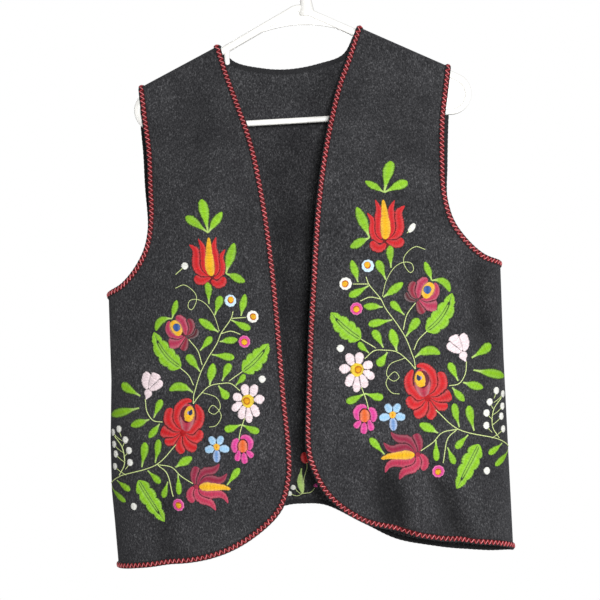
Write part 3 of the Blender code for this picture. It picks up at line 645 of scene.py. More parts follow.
def moved_in(curve, distance, left_of_travel):
    """The curve moved sideways by distance, to the left of its travel or to the right."""
    travel = unit(np.gradient(curve, axis=0))
    left = np.stack([-travel[:, 1], travel[:, 0]], axis=-1)
    return curve + left * distance * (1 if left_of_travel else -1)


def seated(curve, side, first, last):
    """The curve with its ends slid along it to the shoulder seam ("top") or side seam ("side")."""
    curve = curve.copy()
    for index, inner, line in ((0, 2, first), (-1, -3, last)):
        travel = curve[index] - curve[inner]
        along, height = curve[index]
        if line == "top":
            x, _ = ring_place(np.array(along), np.array(height), side)
            slide = (flat_top(x) - height) / travel[1]
            curve[index] = curve[index] + travel * slide
            curve[index, 1] = flat_top(x + travel[0] * slide)
        else:
            seam = np.sign(along) * side_seam(height, side)
            curve[index, 1] += travel[1] * (seam - along) / travel[0]
            curve[index, 0] = seam
    return curve


def edge_pair(edge, side, left_of_travel, first, last):
    """(cloth's cut edge, middle of its band): both as long curves with matching points."""
    middle = smooth_curve(cloth_points(edge, side))
    cut = moved_in(middle, BAND_WIDTH / 2 - TUCK, left_of_travel)
    return seated(cut, side, first, last), seated(middle, side, first, last)


def resampled(pair, steps):
    """Both curves of a pair at the same even steps of the first one's length."""
    run = lengths_of(pair[0])
    index = np.arange(len(run))
    where = np.interp(np.linspace(0, 1, steps + 1) * run[-1], run, index)
    return [read_off(curve, index, where) for curve in pair]


def filled(top, bottom, left, right):
    """A grid that fills four edges, the sum of the two ruled fills less the corners' own."""
    v, u = (
        (lengths_of(a) / lengths_of(a)[-1] + lengths_of(b) / lengths_of(b)[-1]) / 2
        for a, b in ((left, right), (top, bottom))
    )
    v, u = v[:, None, None], u[None, :, None]
    ruled = (1 - v) * top[None] + v * bottom[None] + (1 - u) * left[:, None] + u * right[:, None]
    high, low = (1 - u) * top[0] + u * top[-1], (1 - u) * bottom[0] + u * bottom[-1]
    return ruled - (1 - v) * high - v * low


def shoulder_line(start, end, steps, side):
    """Straight along the shoulder seam between two places."""
    along = np.linspace(start[0], end[0], steps + 1)
    x, _ = ring_place(along, np.full_like(along, start[1]), side)
    line = np.stack([along, flat_top(x)], axis=-1)
    line[0], line[-1] = start, end
    return line


def felt_finish():
    """Charcoal wool felt: matted dark fibre with pale grey fibres in it, in clumps one or two
    millimetres across, cloudy over some centimetres, with a soft nap that catches light. Its
    colour is darkened in the folds by their depth: painted shade."""
    finish = Finish("charcoal_felt")
    place = finish.put("TexCoord").outputs["Object"]
    fibre = finish.noise(place, 1500, 3, 0.65, (1, 1, 0.6))
    clump = finish.noise(place, 620, 3, 0.62, (1, 1, 0.62))
    cloud = finish.noise(place, 20, 3)
    mixed = finish.sums("MULTIPLY", fibre, 0.3)
    mixed = finish.sums("ADD", mixed, finish.sums("MULTIPLY", clump, 0.7))
    clouded = finish.sums("MULTIPLY", finish.sums("SUBTRACT", cloud, 0.5), 0.17)
    mixed = finish.sums("ADD", mixed, clouded)
    colour = finish.ramp(
        mixed,
        (0.30, (0.005, 0.005, 0.006)),
        (0.46, (0.023, 0.023, 0.025)),
        (0.56, (0.042, 0.042, 0.045)),
        (0.70, (0.135, 0.135, 0.140)),
    )
    # Painted shade: the felt's colour is darkened by the depth of the folds and creases.
    fold_shade = finish.put("Attribute", {"attribute_name": "fold_shade"}).outputs["Fac"]
    painted_fold_shade = finish.put("MapRange", Value=fold_shade, To_Min=1.0, To_Max=FOLD_SHADE_TONE).outputs[0]
    finish.surface(
        Base_Color=finish.times(colour, painted_fold_shade),
        Roughness=0.95,
        Specular_IOR_Level=0.12,
        Sheen_Weight=0.10,
        Sheen_Roughness=0.55,
        Sheen_Tint=(0.62, 0.63, 0.68, 1),
    )
    finish.bump(mixed, 0.0016, 0.9)
    return finish.material


felt = felt_finish()
goes_with = {"front_left": [], "front_right": [], "back": []}


def felt_wall(name, grid, side):
    """A felt panel: its outer face on the grid, its inner face one thickness further in."""
    outer = cloth(grid[..., 0], grid[..., 1], side)
    inner = outer - FELT * outward(grid[..., 0], grid[..., 1], side)
    rows, columns = outer.shape[:2]
    index = np.arange(rows * columns).reshape(rows, columns)
    quads = np.stack([index[:-1, :-1], index[1:, :-1], index[1:, 1:], index[:-1, 1:]], axis=-1)
    quads = quads.reshape(-1, 4)
    rim = np.concatenate([index[0, :-1], index[:-1, -1], index[-1, :0:-1], index[:0:-1, 0]])
    under, step = rim + rows * columns, np.roll(rim, -1)
    edge = np.stack([rim, step, np.roll(under, -1), under], axis=-1)
    points = np.vstack([outer.reshape(-1, 3), inner.reshape(-1, 3)])
    faces = np.vstack([quads, quads[:, ::-1] + rows * columns, edge])
    piece = make_piece(f"felt_{name}", (points, *turned_out(points, faces, [])), felt)
    # Painted shade: each point's share of the darkening, by how deep the folds and creases are
    # there.
    fold_shade = np.clip(pressed_in(outer[..., 0], grid[..., 1], side) / FULL_FOLD_SHADE[side], 0, 1)
    fold_shade_values = piece.data.attributes.new("fold_shade", "FLOAT", "POINT").data
    fold_shade_values.foreach_set("value", np.tile(fold_shade.ravel(), 2).astype(np.float32))
    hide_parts(name)


def outer_edge(hole, side, hem_height, rows):
    """A panel's outer edge: down the armhole's cut, then down the side seam."""
    cut, _ = resampled(hole, rows // 2)
    heights = np.linspace(cut[-1, 1], hem_height, rows - rows // 2 + 1)[1:]
    seam = np.sign(cut[-1, 0]) * side_seam(heights, side)
    return np.vstack([cut, np.stack([seam, heights], axis=-1)])


FRONT_ROWS, FRONT_COLUMNS = 250, 88
front_edges, front_holes = {}, {}
for word in ("left", "right"):
    is_left = word == "left"
    front_holes[word] = edge_pair(ARMHOLE[word], -1, is_left, "top", "side")
    front_edges[word] = whole = edge_pair(FRONT_EDGE[word], -1, not is_left, "top", "side")
    corner_x, corner_height = CORNER[word]
    corner = np.array([along_at(np.array(corner_x), np.array(corner_height), -1), corner_height])
    at_corner = int(np.argmin(np.linalg.norm(whole[1] - corner, axis=1)))
    front = [curve[: at_corner + 1] for curve in whole]
    hem = [curve[at_corner:] for curve in whole]
    outer = outer_edge(front_holes[word], -1, hem[0][-1, 1], FRONT_ROWS)
    front_cut, _ = resampled(front, FRONT_ROWS)
    hem_cut, _ = resampled(hem, FRONT_COLUMNS)
    top = shoulder_line(outer[0], front_cut[0], FRONT_COLUMNS, -1)
    felt_wall(f"front_{word}", filled(top, hem_cut[::-1], outer, front_cut), -1)


# ---------------------------------------------------------------- felt back
# The back, one piece of the same felt, plain but for one small spray above the hem. Its neck is
# cut low, its armholes lie a little further out than the fronts', and its hem arches up in the
# middle.
BACK_ARMHOLE_OUT = 0.009
SHOULDER_RISE = 0.04  # from an armhole's second place up to the shoulder seam
NECK = edge_through(
    (-0.1040, TOP),
    (-0.0868, -0.142),
    (-0.0486, -0.154),
    (-0.0150, -0.157),
    (0.0240, -0.152),
    (0.0570, -0.141),
    (0.0775, TOP),
)
BACK_HEM = edge_through(
    (-SIDE, -0.760),
    (-0.2100, -0.756),
    (-0.1400, -0.742),
    (-0.0900, -0.714),
    (-0.0390, -0.699),
    (0.0000, -0.703),
    (0.0500, -0.731),
    (0.0900, -0.752),
    (0.1410, -0.763),
    (0.2030, -0.770),
    (SIDE, -0.767),
)
BACK_ROWS, NECK_COLUMNS, BACK_SHOULDER_COLUMNS = 200, 100, 46


def back_armhole(edge):
    """The front's armhole edge, moved outwards by a half sine wave down its run."""
    top = edge["height"][1] + SHOULDER_RISE
    heights = np.where(np.isinf(edge["height"]), top, edge["height"])
    run = (heights[0] - heights) / (heights[0] - heights[-1])
    out = np.sign(edge["x"]) * BACK_ARMHOLE_OUT * np.sin(math.pi * run)
    return {"x": edge["x"] + out, "height": edge["height"]}


back_hem = edge_pair(BACK_HEM, 1, True, "side", "side")
back_neck = edge_pair(NECK, 1, False, "top", "top")
back_holes = {
    word: edge_pair(back_armhole(ARMHOLE[word]), 1, word == "left", "top", "side")
    for word in ("left", "right")
}
left_outer = outer_edge(back_holes["left"], 1, back_hem[0][0, 1], BACK_ROWS)
right_outer = outer_edge(back_holes["right"], 1, back_hem[0][-1, 1], BACK_ROWS)
columns = NECK_COLUMNS + 2 * BACK_SHOULDER_COLUMNS
hem_cut, _ = resampled(back_hem, columns)
neck_cut, _ = resampled(back_neck, NECK_COLUMNS)
top = np.vstack(
    [
        shoulder_line(left_outer[0], neck_cut[0], BACK_SHOULDER_COLUMNS, 1)[:-1],
        neck_cut,
        shoulder_line(neck_cut[-1], right_outer[0], BACK_SHOULDER_COLUMNS, 1)[1:],
    ]
)
felt_wall("back", filled(top, hem_cut, left_outer, right_outer), 1)


# ---------------------------------------------------------------- edge bands
# The free edges are bound with a strip of near-black felt that is folded over the cut edge and
# oversewn, so that it is round, about 8 mm across, and nipped at each stitch.
BAND_HALF_HEIGHT, BAND_RAISED = 0.0022, -0.0006  # half its thickness, its middle off the face
BAND_ROUNDNESS = 0.7  # the power of its rounded section
STITCH_PITCH = 0.00585
RINGS_A_STITCH = 4
NIP = 0.00028  # how far a stitch pulls the band in


def band_finish():
    """Near-black felt, with a finer and closer nap than the panels'."""
    finish = Finish("black_edge_felt")
    place = finish.put("TexCoord").outputs["Object"]
    fibre = finish.noise(place, 1500, 4, 0.65)
    colour = finish.ramp(fibre, (0.35, (0.007, 0.007, 0.008)), (0.70, (0.040, 0.040, 0.043)))
    finish.surface(
        Base_Color=colour,
        Roughness=0.92,
        Specular_IOR_Level=0.12,
        Sheen_Weight=0.10,
        Sheen_Roughness=0.5,
        Sheen_Tint=(0.6, 0.6, 0.65, 1),
    )
    finish.bump(fibre, 0.0007, 0.8)
    return finish.material


black_edge = band_finish()


def band_frames(pair, side):
    """Places down the middle of a band, with the directions out from the cloth's edge and out
    of its face there. They lie at equal steps, a whole number of them to each stitch."""
    length = lengths_of(cloth(pair[1][:, 0], pair[1][:, 1], side))[-1]
    count = round(length / STITCH_PITCH) * RINGS_A_STITCH
    cut, middle = resampled(pair, count)
    centre = cloth(middle[:, 0], middle[:, 1], side)
    out = centre - cloth(cut[:, 0], cut[:, 1], side)
    normal = outward(middle[:, 0], middle[:, 1], side)
    out -= normal * np.sum(out * normal, axis=1, keepdims=True)
    return centre, unit(out), normal


def band_sections(pair, side):
    """Rounded sections of the band, which shrink by NIP at each stitch. The end ones lie in the
    seams' plane."""
    centre, out, normal = band_frames(pair, side)
    nip = NIP * np.cos(2 * np.pi * np.arange(len(centre)) / RINGS_A_STITCH)[:, None]
    wide, high = rounded(16, BAND_ROUNDNESS)
    wide = wide * (BAND_WIDTH / 2 - nip.clip(0))
    high = high * (BAND_HALF_HEIGHT - nip) + BAND_RAISED
    rings = centre[:, None] + out[:, None] * wide[..., None] + normal[:, None] * high[..., None]
    for end in (0, -1):
        rings[end, :, 1] = 0
    return rings


def bound_edge(name, sections, closed, wall):
    """A band of black felt over the sections, in its node's place, that goes with a wall."""
    band = make_piece(name, skin(sections, closed), black_edge)
    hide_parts(name.replace("binding", "band"))
    goes_with[wall].append(band)


def round_the_hole(front, back):
    """Sections down the front of an armhole and up its back, as one closed round."""
    front = front.copy()
    for end in (0, -1):
        front[end] = (front[end] + back[end]) / 2
    return np.concatenate([front, back[-2:0:-1]])


for word in ("left", "right"):
    wall = f"front_{word}"
    bound_edge(f"edge_binding_{word}", band_sections(front_edges[word], -1), False, wall)
    halves = band_sections(front_holes[word], -1), band_sections(back_holes[word], 1)
    hole = round_the_hole(*halves)
    bound_edge(f"armhole_binding_{word}", hole, True, wall)
bound_edge("edge_binding_neck", band_sections(back_neck, 1), False, "back")
bound_edge("edge_binding_back_hem", band_sections(back_hem, 1), False, "back")


# ---------------------------------------------------------------- edge stitches
# Red yarn is worked over the outside of the bands in a close zigzag, on a ground of deep red
# laid along them. Along the middle of its long stroke, where it stands up, the red yarn is
# painted light salmon red, a painted highlight; towards the turns, where it dips, and on the way
# back, it is painted darker, towards deep red: painted shade. Lower down, the two are nearly
# alike in length.
YARN_RADIUS, YARN_SIDES = 0.00058, 6
STROKE = 0.0028  # the zigzag's reach to each side
LEAN, LOW_LEAN = 0.78, 0.54  # of each turn, on the long stroke
LOW_HEIGHT, LEAN_CHANGE = -0.62, 0.06  # where the strokes turn even, and over how much height
YARN_STEPS = 12
BACKSTROKE_HIGHLIGHT = 0.22  # how much of the painted highlight there is on the way back
UNDERLAY = 0.00022  # height of the ground over the band
STANDS, DIPS = 0.55, 0.9  # shares of the yarn's radius: up in mid-stroke, and down at its turns
UNEVEN_LEAN, UNEVEN_REACH, UNEVEN_DYE = 0.03, 0.06, 0.08
rng = np.random.default_rng(11)


def dyed(red, green, blue):
    """A colour of 0 to 255 values as the shader's linear light, (value / 255) ** 2.2."""
    return (np.array([red, green, blue]) / 255) ** 2.2


# The first is a painted highlight on the red yarn; the second is the yarn's deep red, and the
# third the ground's maroon.
SALMON_HIGHLIGHT, DEEP_RED, MAROON = dyed(216, 122, 126), dyed(150, 14, 28), dyed(76, 2, 10)


def thread_finish():
    """Embroidery thread: its point's own dye, with painted highlights and shade in it, streaked
    along the strands and darker between them. Two plies to a stitch show as fine ridges, with
    the soft sheen of combed cotton."""
    finish = Finish("embroidery_thread")
    dye_and_light = finish.put("Attribute", {"attribute_name": "dye_and_light"}).outputs["Color"]
    strand = finish.put("UVMap", {"uv_map": "strand"}).outputs["UV"]
    streak = finish.noise(strand, 1.0, 2, 0.6, (2.4, 0.35, 1))
    split = finish.put("SeparateXYZ", Vector=strand).outputs
    ply = finish.sums("SINE", finish.sums("MULTIPLY", split[0], 4 * math.pi), 0)
    lit = finish.put(
        "MapRange", Value=streak, From_Min=0.25, From_Max=0.75, To_Min=0.54, To_Max=1.26
    )
    finish.surface(
        Base_Color=finish.times(dye_and_light, lit.outputs[0]),
        Roughness=0.62,
        Specular_IOR_Level=0.18,
        Sheen_Weight=0.04,
        Sheen_Roughness=0.35,
    )
    height = finish.sums("ADD", finish.sums("MULTIPLY", ply, 0.35), streak)
    finish.bump(height, 0.00010, 0.6)
    return finish.material


thread = thread_finish()


def paired(one, other):
    """Two arrays stretched to the same shape, as pairs of their values."""
    return np.stack(np.broadcast_arrays(one, other), axis=-1)


def round_sections(path, upright, radius):
    """Round sections of yarn across a path in space. Of the two directions that they lie in,
    one is as near as it can be to upright."""
    travel = unit(np.gradient(path, axis=0))
    sideways = unit(np.cross(travel, upright))
    up = np.cross(sideways, travel)
    wide, high = (wave[:, None] for wave in rounded(YARN_SIDES))
    radius = np.broadcast_to(radius, len(path))[:, None, None]
    return path[:, None] + radius * (wide * sideways[:, None] + high * up[:, None])


def yarn_look(dyes_and_light, run):
    """The dyes, with their painted light, and strands of a yarn's points, for its dyes and places
    along its run. The strands' other coordinate goes round the yarn."""
    around = np.arange(YARN_SIDES) / 3
    return dyes_and_light[:, None] * np.ones((1, YARN_SIDES, 1)), paired(around, run[:, None])


def over_band(across):
    """Height of the band's rounded outside over the felt's face, at this far from its middle."""
    share = np.abs(across) / (BAND_WIDTH / 2)
    rise = (1 - np.minimum(share, 1) ** (2 / BAND_ROUNDNESS)) ** (BAND_ROUNDNESS / 2)
    return BAND_HALF_HEIGHT * rise + BAND_RAISED


def at_rings(frames, where):
    """A band's frames at fractional places in their row, straight between neighbours."""
    where = np.clip(where, 0, len(frames[0]) - 1.001)
    low, part = where.astype(int), (where % 1)[:, None]
    return [values[low] * (1 - part) + values[low + 1] * part for values in frames]


def edge_stitches(pair, side, way):
    """The zigzag over one band and the ground beneath it, each with its dyes, painted light
    included, and strands. Over each turn it goes straight across towards way, for the lean's
    share of it, and back."""
    frames = band_frames(pair, side)
    count = (len(frames[0]) - 1) // RINGS_A_STITCH
    step = np.arange((count - 1) * YARN_STEPS + 1)
    turn, share = step // YARN_STEPS, (step % YARN_STEPS) / YARN_STEPS
    uneven = rng.standard_normal((3, count))[:, turn]
    height = frames[0][turn * RINGS_A_STITCH, 2]
    low = smooth((LOW_HEIGHT - height) / LEAN_CHANGE)
    lean = LEAN + (LOW_LEAN - LEAN) * low + UNEVEN_LEAN * uneven[0]
    swing = np.where(share < lean, 2 * share / lean - 1, 1 - 2 * (share - lean) / (1 - lean))
    across = way * STROKE * (1 + UNEVEN_REACH * uneven[1]) * swing
    centre, out, normal = at_rings(frames, step / YARN_STEPS * RINGS_A_STITCH)
    lift = over_band(across) + UNDERLAY + YARN_RADIUS * (STANDS - DIPS * swing**4)
    path = centre + out * across[:, None] + normal * lift[:, None]
    yarn = round_sections(path, normal, YARN_RADIUS)
    # Painted highlight in the middle of the long stroke, fading to painted shade at its turns and
    # on the way back.
    highlight_share = (1 - 0.7 * swing**4) * np.where(share < lean, 1, BACKSTROKE_HIGHLIGHT)
    dyes_and_light = DEEP_RED + (SALMON_HIGHLIGHT - DEEP_RED) * highlight_share[:, None]
    dyes_and_light = dyes_and_light * (1 + UNEVEN_DYE * uneven[2])[:, None]
    rows = np.linspace(0.4, len(frames[0]) - 1.4, 2 * count)
    centre, out, normal = at_rings(frames, rows)
    place = (STROKE + 0.8 * YARN_RADIUS) * np.array([-1, -0.5, 0, 0.5, 1, 0])
    rise = over_band(place) + UNDERLAY * np.array([0.3, 1, 1, 1, 0.3, -2])
    tape = centre[:, None] + out[:, None] * place[:, None] + normal[:, None] * rise[:, None]
    tape_look = MAROON * np.ones((*tape.shape[:2], 1)), paired(place * 1000, rows[:, None])
    return [(yarn, *yarn_look(dyes_and_light, step / 2), False), (tape, *tape_look, False)]


def sewn_piece(name, patches, wall, place=np.asarray):
    """One piece of thread on a wall from patches (sections, dyes with their painted light,
    strands, closed or not), laid by the function place where their points are in the flat."""
    forms = [skin(place(sections), closed) for sections, _, _, closed in patches]
    dye_and_light = np.vstack([dyes_and_light.reshape(-1, 3) for _, dyes_and_light, _, _ in patches]).clip(0, 1)
    strand = np.vstack([strands.reshape(-1, 2) for _, _, strands, _ in patches])
    goes_with[wall].append(make_piece(name, joined(forms), thread, dye_and_light, strand))


for word, way in (("left", 1), ("right", -1)):
    wall = f"front_{word}"
    sewn_piece(f"edge_stitches_{word}", edge_stitches(front_edges[word], -1, way), wall)
    round_front = edge_stitches(front_holes[word], -1, -way)
    round_back = edge_stitches(back_holes[word], 1, -way)
    sewn_piece(f"armhole_stitches_{word}", round_front + round_back, wall)
sewn_piece("neck_stitches", edge_stitches(back_neck, 1, 1), "back")
sewn_piece("back_hem_stitches", edge_stitches(back_hem, 1, 1), "back")


# ---------------------------------------------------------------- red roses
# A full-blown rose on each front, in padded satin stitch: cotton thread laid side by side
# over padding, so that each petal is a low cushion with its stitches across it.
STITCH = 0.9  # from stitch to stitch. Embroidery is in millimetres, in the flat
RIDGE = 0.10  # of each stitch over the furrow beside it
SLANT = 0.25  # how far the stitches lead towards the tip, for each millimetre off the middle
CROWN, CROWN_SHARE = 0.95, 0.20  # a cushion's height: at most, and as a share of its width
ACROSS = np.array([-1, -0.93, -0.76, -0.4, 0, 0.4, 0.76, 0.93, 1])
ROUND_TOP = np.sqrt(1 - np.abs(ACROSS) ** 2.6)
RIM_HIGHLIGHT = np.array([0, 0.6, 1, 0.3, 0, 0.3, 1, 0.6, 0])  # painted highlight where the thread turns down
SIDE_SHADE = np.array([1, 0.52, 0.08, 0, 0, 0, 0.08, 0.52, 1])  # and painted shade where it goes into the felt
SEAM = 0.3  # of felt between neighbouring petals
UNEVEN_WIDTH, JAG, STEP_OUT, EASE = 5, 0.06, 0.03, 0.12  # how the stitches' ends vary
VEIN_GAP = 1.5  # from a leaf's middle to the stitches beside its vein
SIDES_DOWN, UNDERSIDE = -0.15, -0.3  # heights of a cushion's edges and of its underside
SECTION = [0, 1, 2, 3, 4, 5, 6, 7, 8, 4]  # points of ACROSS, and then back under the middle
MOTIF_TURN = np.array([[1, -0.065], [0.04, 1]])  # of each motif's drawing on its spray
# Half the width of each shape of petal or leaf, as shares of its most, from base to tip.
SHAPE_STEPS = (0, 0.06, 0.15, 0.28, 0.42, 0.56, 0.70, 0.83, 0.93, 1)
SHAPES = {
    "toothed": (0.26, 0.66, 0.92, 1, 0.98, 0.90, 0.73, 0.50, 0.27, 0.03),
    "spoon": (0.15, 0.15, 0.19, 0.33, 0.62, 0.90, 1, 0.90, 0.60, 0.08),
    "lens": (0.14, 0.15, 0.24, 0.56, 0.88, 1, 0.93, 0.70, 0.42, 0.06),
    "drop": (0.25, 0.62, 0.90, 1, 0.93, 0.77, 0.60, 0.44, 0.32, 0.08),
    "oval": (0.15, 0.52, 0.74, 0.91, 0.99, 0.99, 0.92, 0.76, 0.53, 0.15),
    "petal": (0.28, 0.42, 0.60, 0.78, 0.91, 0.99, 1, 0.90, 0.67, 0.20),
    "fan": (0.16, 0.26, 0.38, 0.55, 0.72, 0.87, 0.98, 1, 0.88, 0.42),
    "round": (0.30, 0.60, 0.78, 0.92, 1, 1, 0.97, 0.85, 0.62, 0.20),
    "flame": (0.35, 0.62, 0.84, 0.97, 1, 0.94, 0.80, 0.56, 0.30, 0.05),
    "crescent": (0.20, 0.52, 0.76, 0.94, 1, 1, 0.92, 0.76, 0.52, 0.18),
    "disc": (0.22, 0.48, 0.71, 0.90, 0.99, 0.99, 0.92, 0.75, 0.51, 0.22),
}
SHAPE_CURVES = {
    name: smooth_curve(np.stack([SHAPE_STEPS, half], axis=-1)) for name, half in SHAPES.items()
}
RED, YELLOW, ORANGE = dyed(192, 25, 32), dyed(228, 170, 14), dyed(196, 94, 24)
PLUM, MAROON_HEART = dyed(164, 38, 62), dyed(96, 14, 36)
NAVY, LILAC, BLUE = dyed(34, 44, 84), dyed(128, 132, 196), dyed(35, 76, 142)
SKY, WHITE = dyed(142, 186, 220), dyed(230, 230, 222)
MAGENTA, PINK = dyed(208, 54, 140), dyed(232, 212, 216)
GREEN, STALK = dyed(132, 186, 30), dyed(202, 217, 146)
# Where each spray lies: its rose's middle on the cloth (along, height), and the turn and
# stretch of the flat drawing there. The left front's is the other way round.
SPRAYS = {
    "right": ((0.1455, -0.5622), ((1.0, 0.0), (0.0, 1.0))),
    "left": ((-0.1534, -0.5873), ((-0.938, -0.008), (0.0482, 0.973))),
}


def half_widths(shape, line, width):
    """Even steps of half a stitch along a smooth curve through places in the flat, and the
    shape's half width at each."""
    curve = smooth_curve(np.array(line, float), 8)
    run = lengths_of(curve)
    share = np.linspace(0, 1, 2 * max(5, round(run[-1] / STITCH)) + 1)
    half = width / 2 * np.interp(share, *SHAPE_CURVES[shape].T)
    return read_off(curve, run, share * run[-1]), share, half


def clear_of(rivals, middle, sideways, reach):
    """The part of its reach to one side that a petal keeps: up to the first place which lies
    nearer, for its width, to the middle of a rival."""
    if not rivals:
        return reach
    tries = np.linspace(0.04, 1, 25)
    places = middle[:, None] + sideways[:, None] * (reach[:, None] * tries)[..., None]
    others = np.vstack([other for other, _, _ in rivals])
    widths = np.concatenate([other for _, _, other in rivals]) + 0.01
    away = np.linalg.norm(places[:, :, None] - others, axis=-1) / widths
    kept = np.cumprod(away.min(axis=2) > tries, axis=1).sum(axis=1) / len(tries)
    return np.maximum(reach * kept - SEAM * (kept < 1), 0.05)


def cushion(flat, bulge, dyes_and_light, place, rim, deep, closed=False):
    """A patch of satin stitch over flat places, with its side points down in the cloth. rim
    lightens both sides where the thread turns down, a painted highlight, and deep is how dark
    they end, in painted shade."""
    height = bulge[:, SECTION]
    height[:, [0, 8, 9]] = SIDES_DOWN, SIDES_DOWN, UNDERSIDE
    # Painted highlight near both sides, and painted shade where they go into the felt.
    dyes_and_light = (dyes_and_light + (1 - dyes_and_light) * (rim * RIM_HIGHLIGHT)[:, None]) * (1 - (1 - deep) * SIDE_SHADE)[:, None]
    strand = paired(np.arange(len(flat))[:, None] / 2, place)
    return np.dstack([flat, height]), dyes_and_light[:, SECTION], strand, closed


def satin(
    shape, line, width, colour, rim=0.12, deep=0.25, skirt=0.45, shade=0, skew=0, lift=0,
    half=0, lobes=0, foot=None, rivals=(),
):
    """A cushion of satin stitch along a smooth curve through places in the flat, from base to
    tip. Across it, t from -1 to 1, it rises as (1 - |t| ** 2.6) ** 0.5, with a ridge to each
    stitch, and its sides are uneven by each stitch's own amount. skirt is how far they reach
    beyond the stitches, and shade lightens one side and darkens the other. skew slants the
    stitches, half is the side of a vein to which they keep, and lobes the number of teeth, each
    0.70 + 0.33 |sin| ** 0.5 of the reach. lift is the padding underneath, foot the thread that
    it starts in, and rivals the petals that it makes room for."""
    middle, share, reach = half_widths(shape, line, width)
    rows = np.arange(len(share))
    travel = unit(np.gradient(middle, axis=0))
    normal = np.stack([-travel[:, 1], travel[:, 0]], axis=-1)
    wander = rng.standard_normal((3, len(rows) // 2 + 1))[:, rows // 2]
    if lobes:
        reach = reach * (0.70 + 0.33 * np.abs(np.sin(np.pi * lobes * share**0.9)) ** 0.5)
    sides = [clear_of(rivals, middle, side * normal, reach) for side in (-1, 1)]
    right, left = (
        side + np.minimum(side, UNEVEN_WIDTH) * (JAG * jag + STEP_OUT * (rows % 2)) + EASE
        for side, jag in zip(sides, wander)
    )
    place = ACROSS * np.where(ACROSS < 0, right[:, None], left[:, None])
    if half:
        vein = smooth((share - 0.02) / 0.05) * smooth((0.84 - share) / 0.08)
        near = (VEIN_GAP * vein + 0.1)[:, None]
        place = half * ((near + left[:, None]) / 2 + (left[:, None] - near) / 2 * ACROSS)
    wide = np.abs(place[:, 8] - place[:, 0])
    place = place + skirt * np.sign(ACROSS) * (np.abs(ACROSS) == 1) * (half or 1)
    crown = np.minimum(CROWN, CROWN_SHARE * wide / 2 + 0.15)
    bulge = ROUND_TOP * (crown + RIDGE * (rows % 2 - 0.5))[:, None] + lift
    place = place[:, SECTION]
    flat = middle[:, None] + normal[:, None] * place[..., None]
    forward = SLANT * (1 if half else 0.4) * np.abs(place) + skew * place
    flat = flat + travel[:, None] * forward[..., None]
    own = np.array(colour) * np.ones((len(rows), 1))
    if foot is not None:
        own += (foot - own) * smooth((0.30 - share) / 0.18)[:, None]
    # Stitches differ at random in tone, and every other row, the furrow between two ridges, is
    # painted darker: painted shade.
    tone = 1 + 0.08 * wander[2] - 0.08 * (rows % 2 == 0)
    dyes_and_light = (own * tone[:, None])[:, None] * (1 + shade * ACROSS)[:, None]
    return cushion(flat, bulge, dyes_and_light, place, rim, deep)


def petals_at(origin, rows, **usual):
    """Satin cushions from a motif's own rows (shape, colour, width, places, then named values
    other than the usual), whose places are measured from the motif's origin on the spray."""
    rows = [(*row, {}) if len(row) == 4 else row for row in rows]
    lines = [np.array(places) @ MOTIF_TURN + origin for _, _, _, places, _ in rows]
    spread = [half_widths(row[0], line, row[2]) for row, line in zip(rows, lines)]
    made = []
    for own, (row, line) in enumerate(zip(rows, lines)):
        shape, colour, width, _, named = row
        rivals = [spread[k] for k in range(len(rows)) if k != own and "lift" not in rows[k][4]]
        options = {**usual, "rivals": () if "lift" in named else rivals, **named}
        made.append(satin(shape, line, width, colour, **options))
    return made


def laid_on(word):
    """How a spray's flat points (u, v, height in millimetres) come to lie on a front."""
    origin, matrix = SPRAYS[word]

    def place(points):
        along, height = np.moveaxis(points[..., :2] @ np.array(matrix).T / 1000 + origin, -1, 0)
        normal = outward(along, height, -1)
        return cloth(along, height, -1) + normal * points[..., 2:] / 1000

    return place


ROSE = [
    # A dark red underlay under the whole rose: painted shade that shows in the seams between the
    # petals.
    ("oval", RED * 0.2, 36, [(4, -27), (0, -4), (-4, 22)], {"lift": -0.8}),
    ("disc", RED * 0.7, 9, [(-0.5, -14), (-0.5, -5)], {"lift": -0.3, "rim": 0}),
    (
        "crescent", RED, 11,
        [(-19.2, 25), (-24.1, 13.8), (-23.2, 5), (-18.8, -1.6), (-10.4, -9), (-3.3, -8.6)],
    ),
    (
        "crescent", RED, 10,
        [(-14.5, 29.5), (-8.5, 30), (-1.5, 27), (5.2, 19.5), (7.7, 10), (5.5, 1.5), (-0.8, -6.5)],
    ),
    ("round", RED, 13.4, [(0.4, -7.2), (10.7, -2.5), (16.7, 5), (17.2, 13.4), (13, 22.2)]),
    ("fan", RED, 15, [(1.3, -8.1), (12.5, -10.4), (20.9, -7.6), (28, -4.2)], {"shade": -0.08}),
    ("petal", RED, 11, [(2.7, -10), (10.7, -16.5), (17.2, -18.8), (24.6, -18)]),
    ("petal", RED, 12, [(2.7, -12.6), (5.5, -21.2), (5.1, -27.7), (0.9, -33.8)]),
    ("petal", RED, 14, [(-1.5, -12.6), (-4.3, -21.2), (-9.4, -26.3), (-16.4, -29.6)]),
    ("petal", RED, 12.6, [(-3.3, -11), (-11.8, -17), (-18.8, -16), (-23.2, -7.2)], {"shade": 0.1}),
    ("oval", PLUM, 21, [(-4.4, -7.6), (-7.1, 9.4), (-9.4, 26)], {"rim": 0.14, "lift": 0.15}),
    (
        "oval", MAROON_HEART, 17.4,
        [(-5.6, 2.5), (-7.4, 13), (-9.2, 23.6)],
        {"rim": 0.02, "lift": 0.45},
    ),
    ("oval", YELLOW, 14.4, [(-12.6, 23.2), (-9.8, 13.6), (-7.4, 4)], {"lift": 0.75}),
    ("lens", NAVY, 5.6, [(-14.2, 20.8), (-12.4, 16), (-10.6, 11.4)], {"lift": 1.3, "rim": 0.05}),
    ("lens", LILAC, 4, [(-10.4, 20.6), (-9.4, 16), (-8.6, 11.6)], {"lift": 1.2, "rim": 0.1}),
]


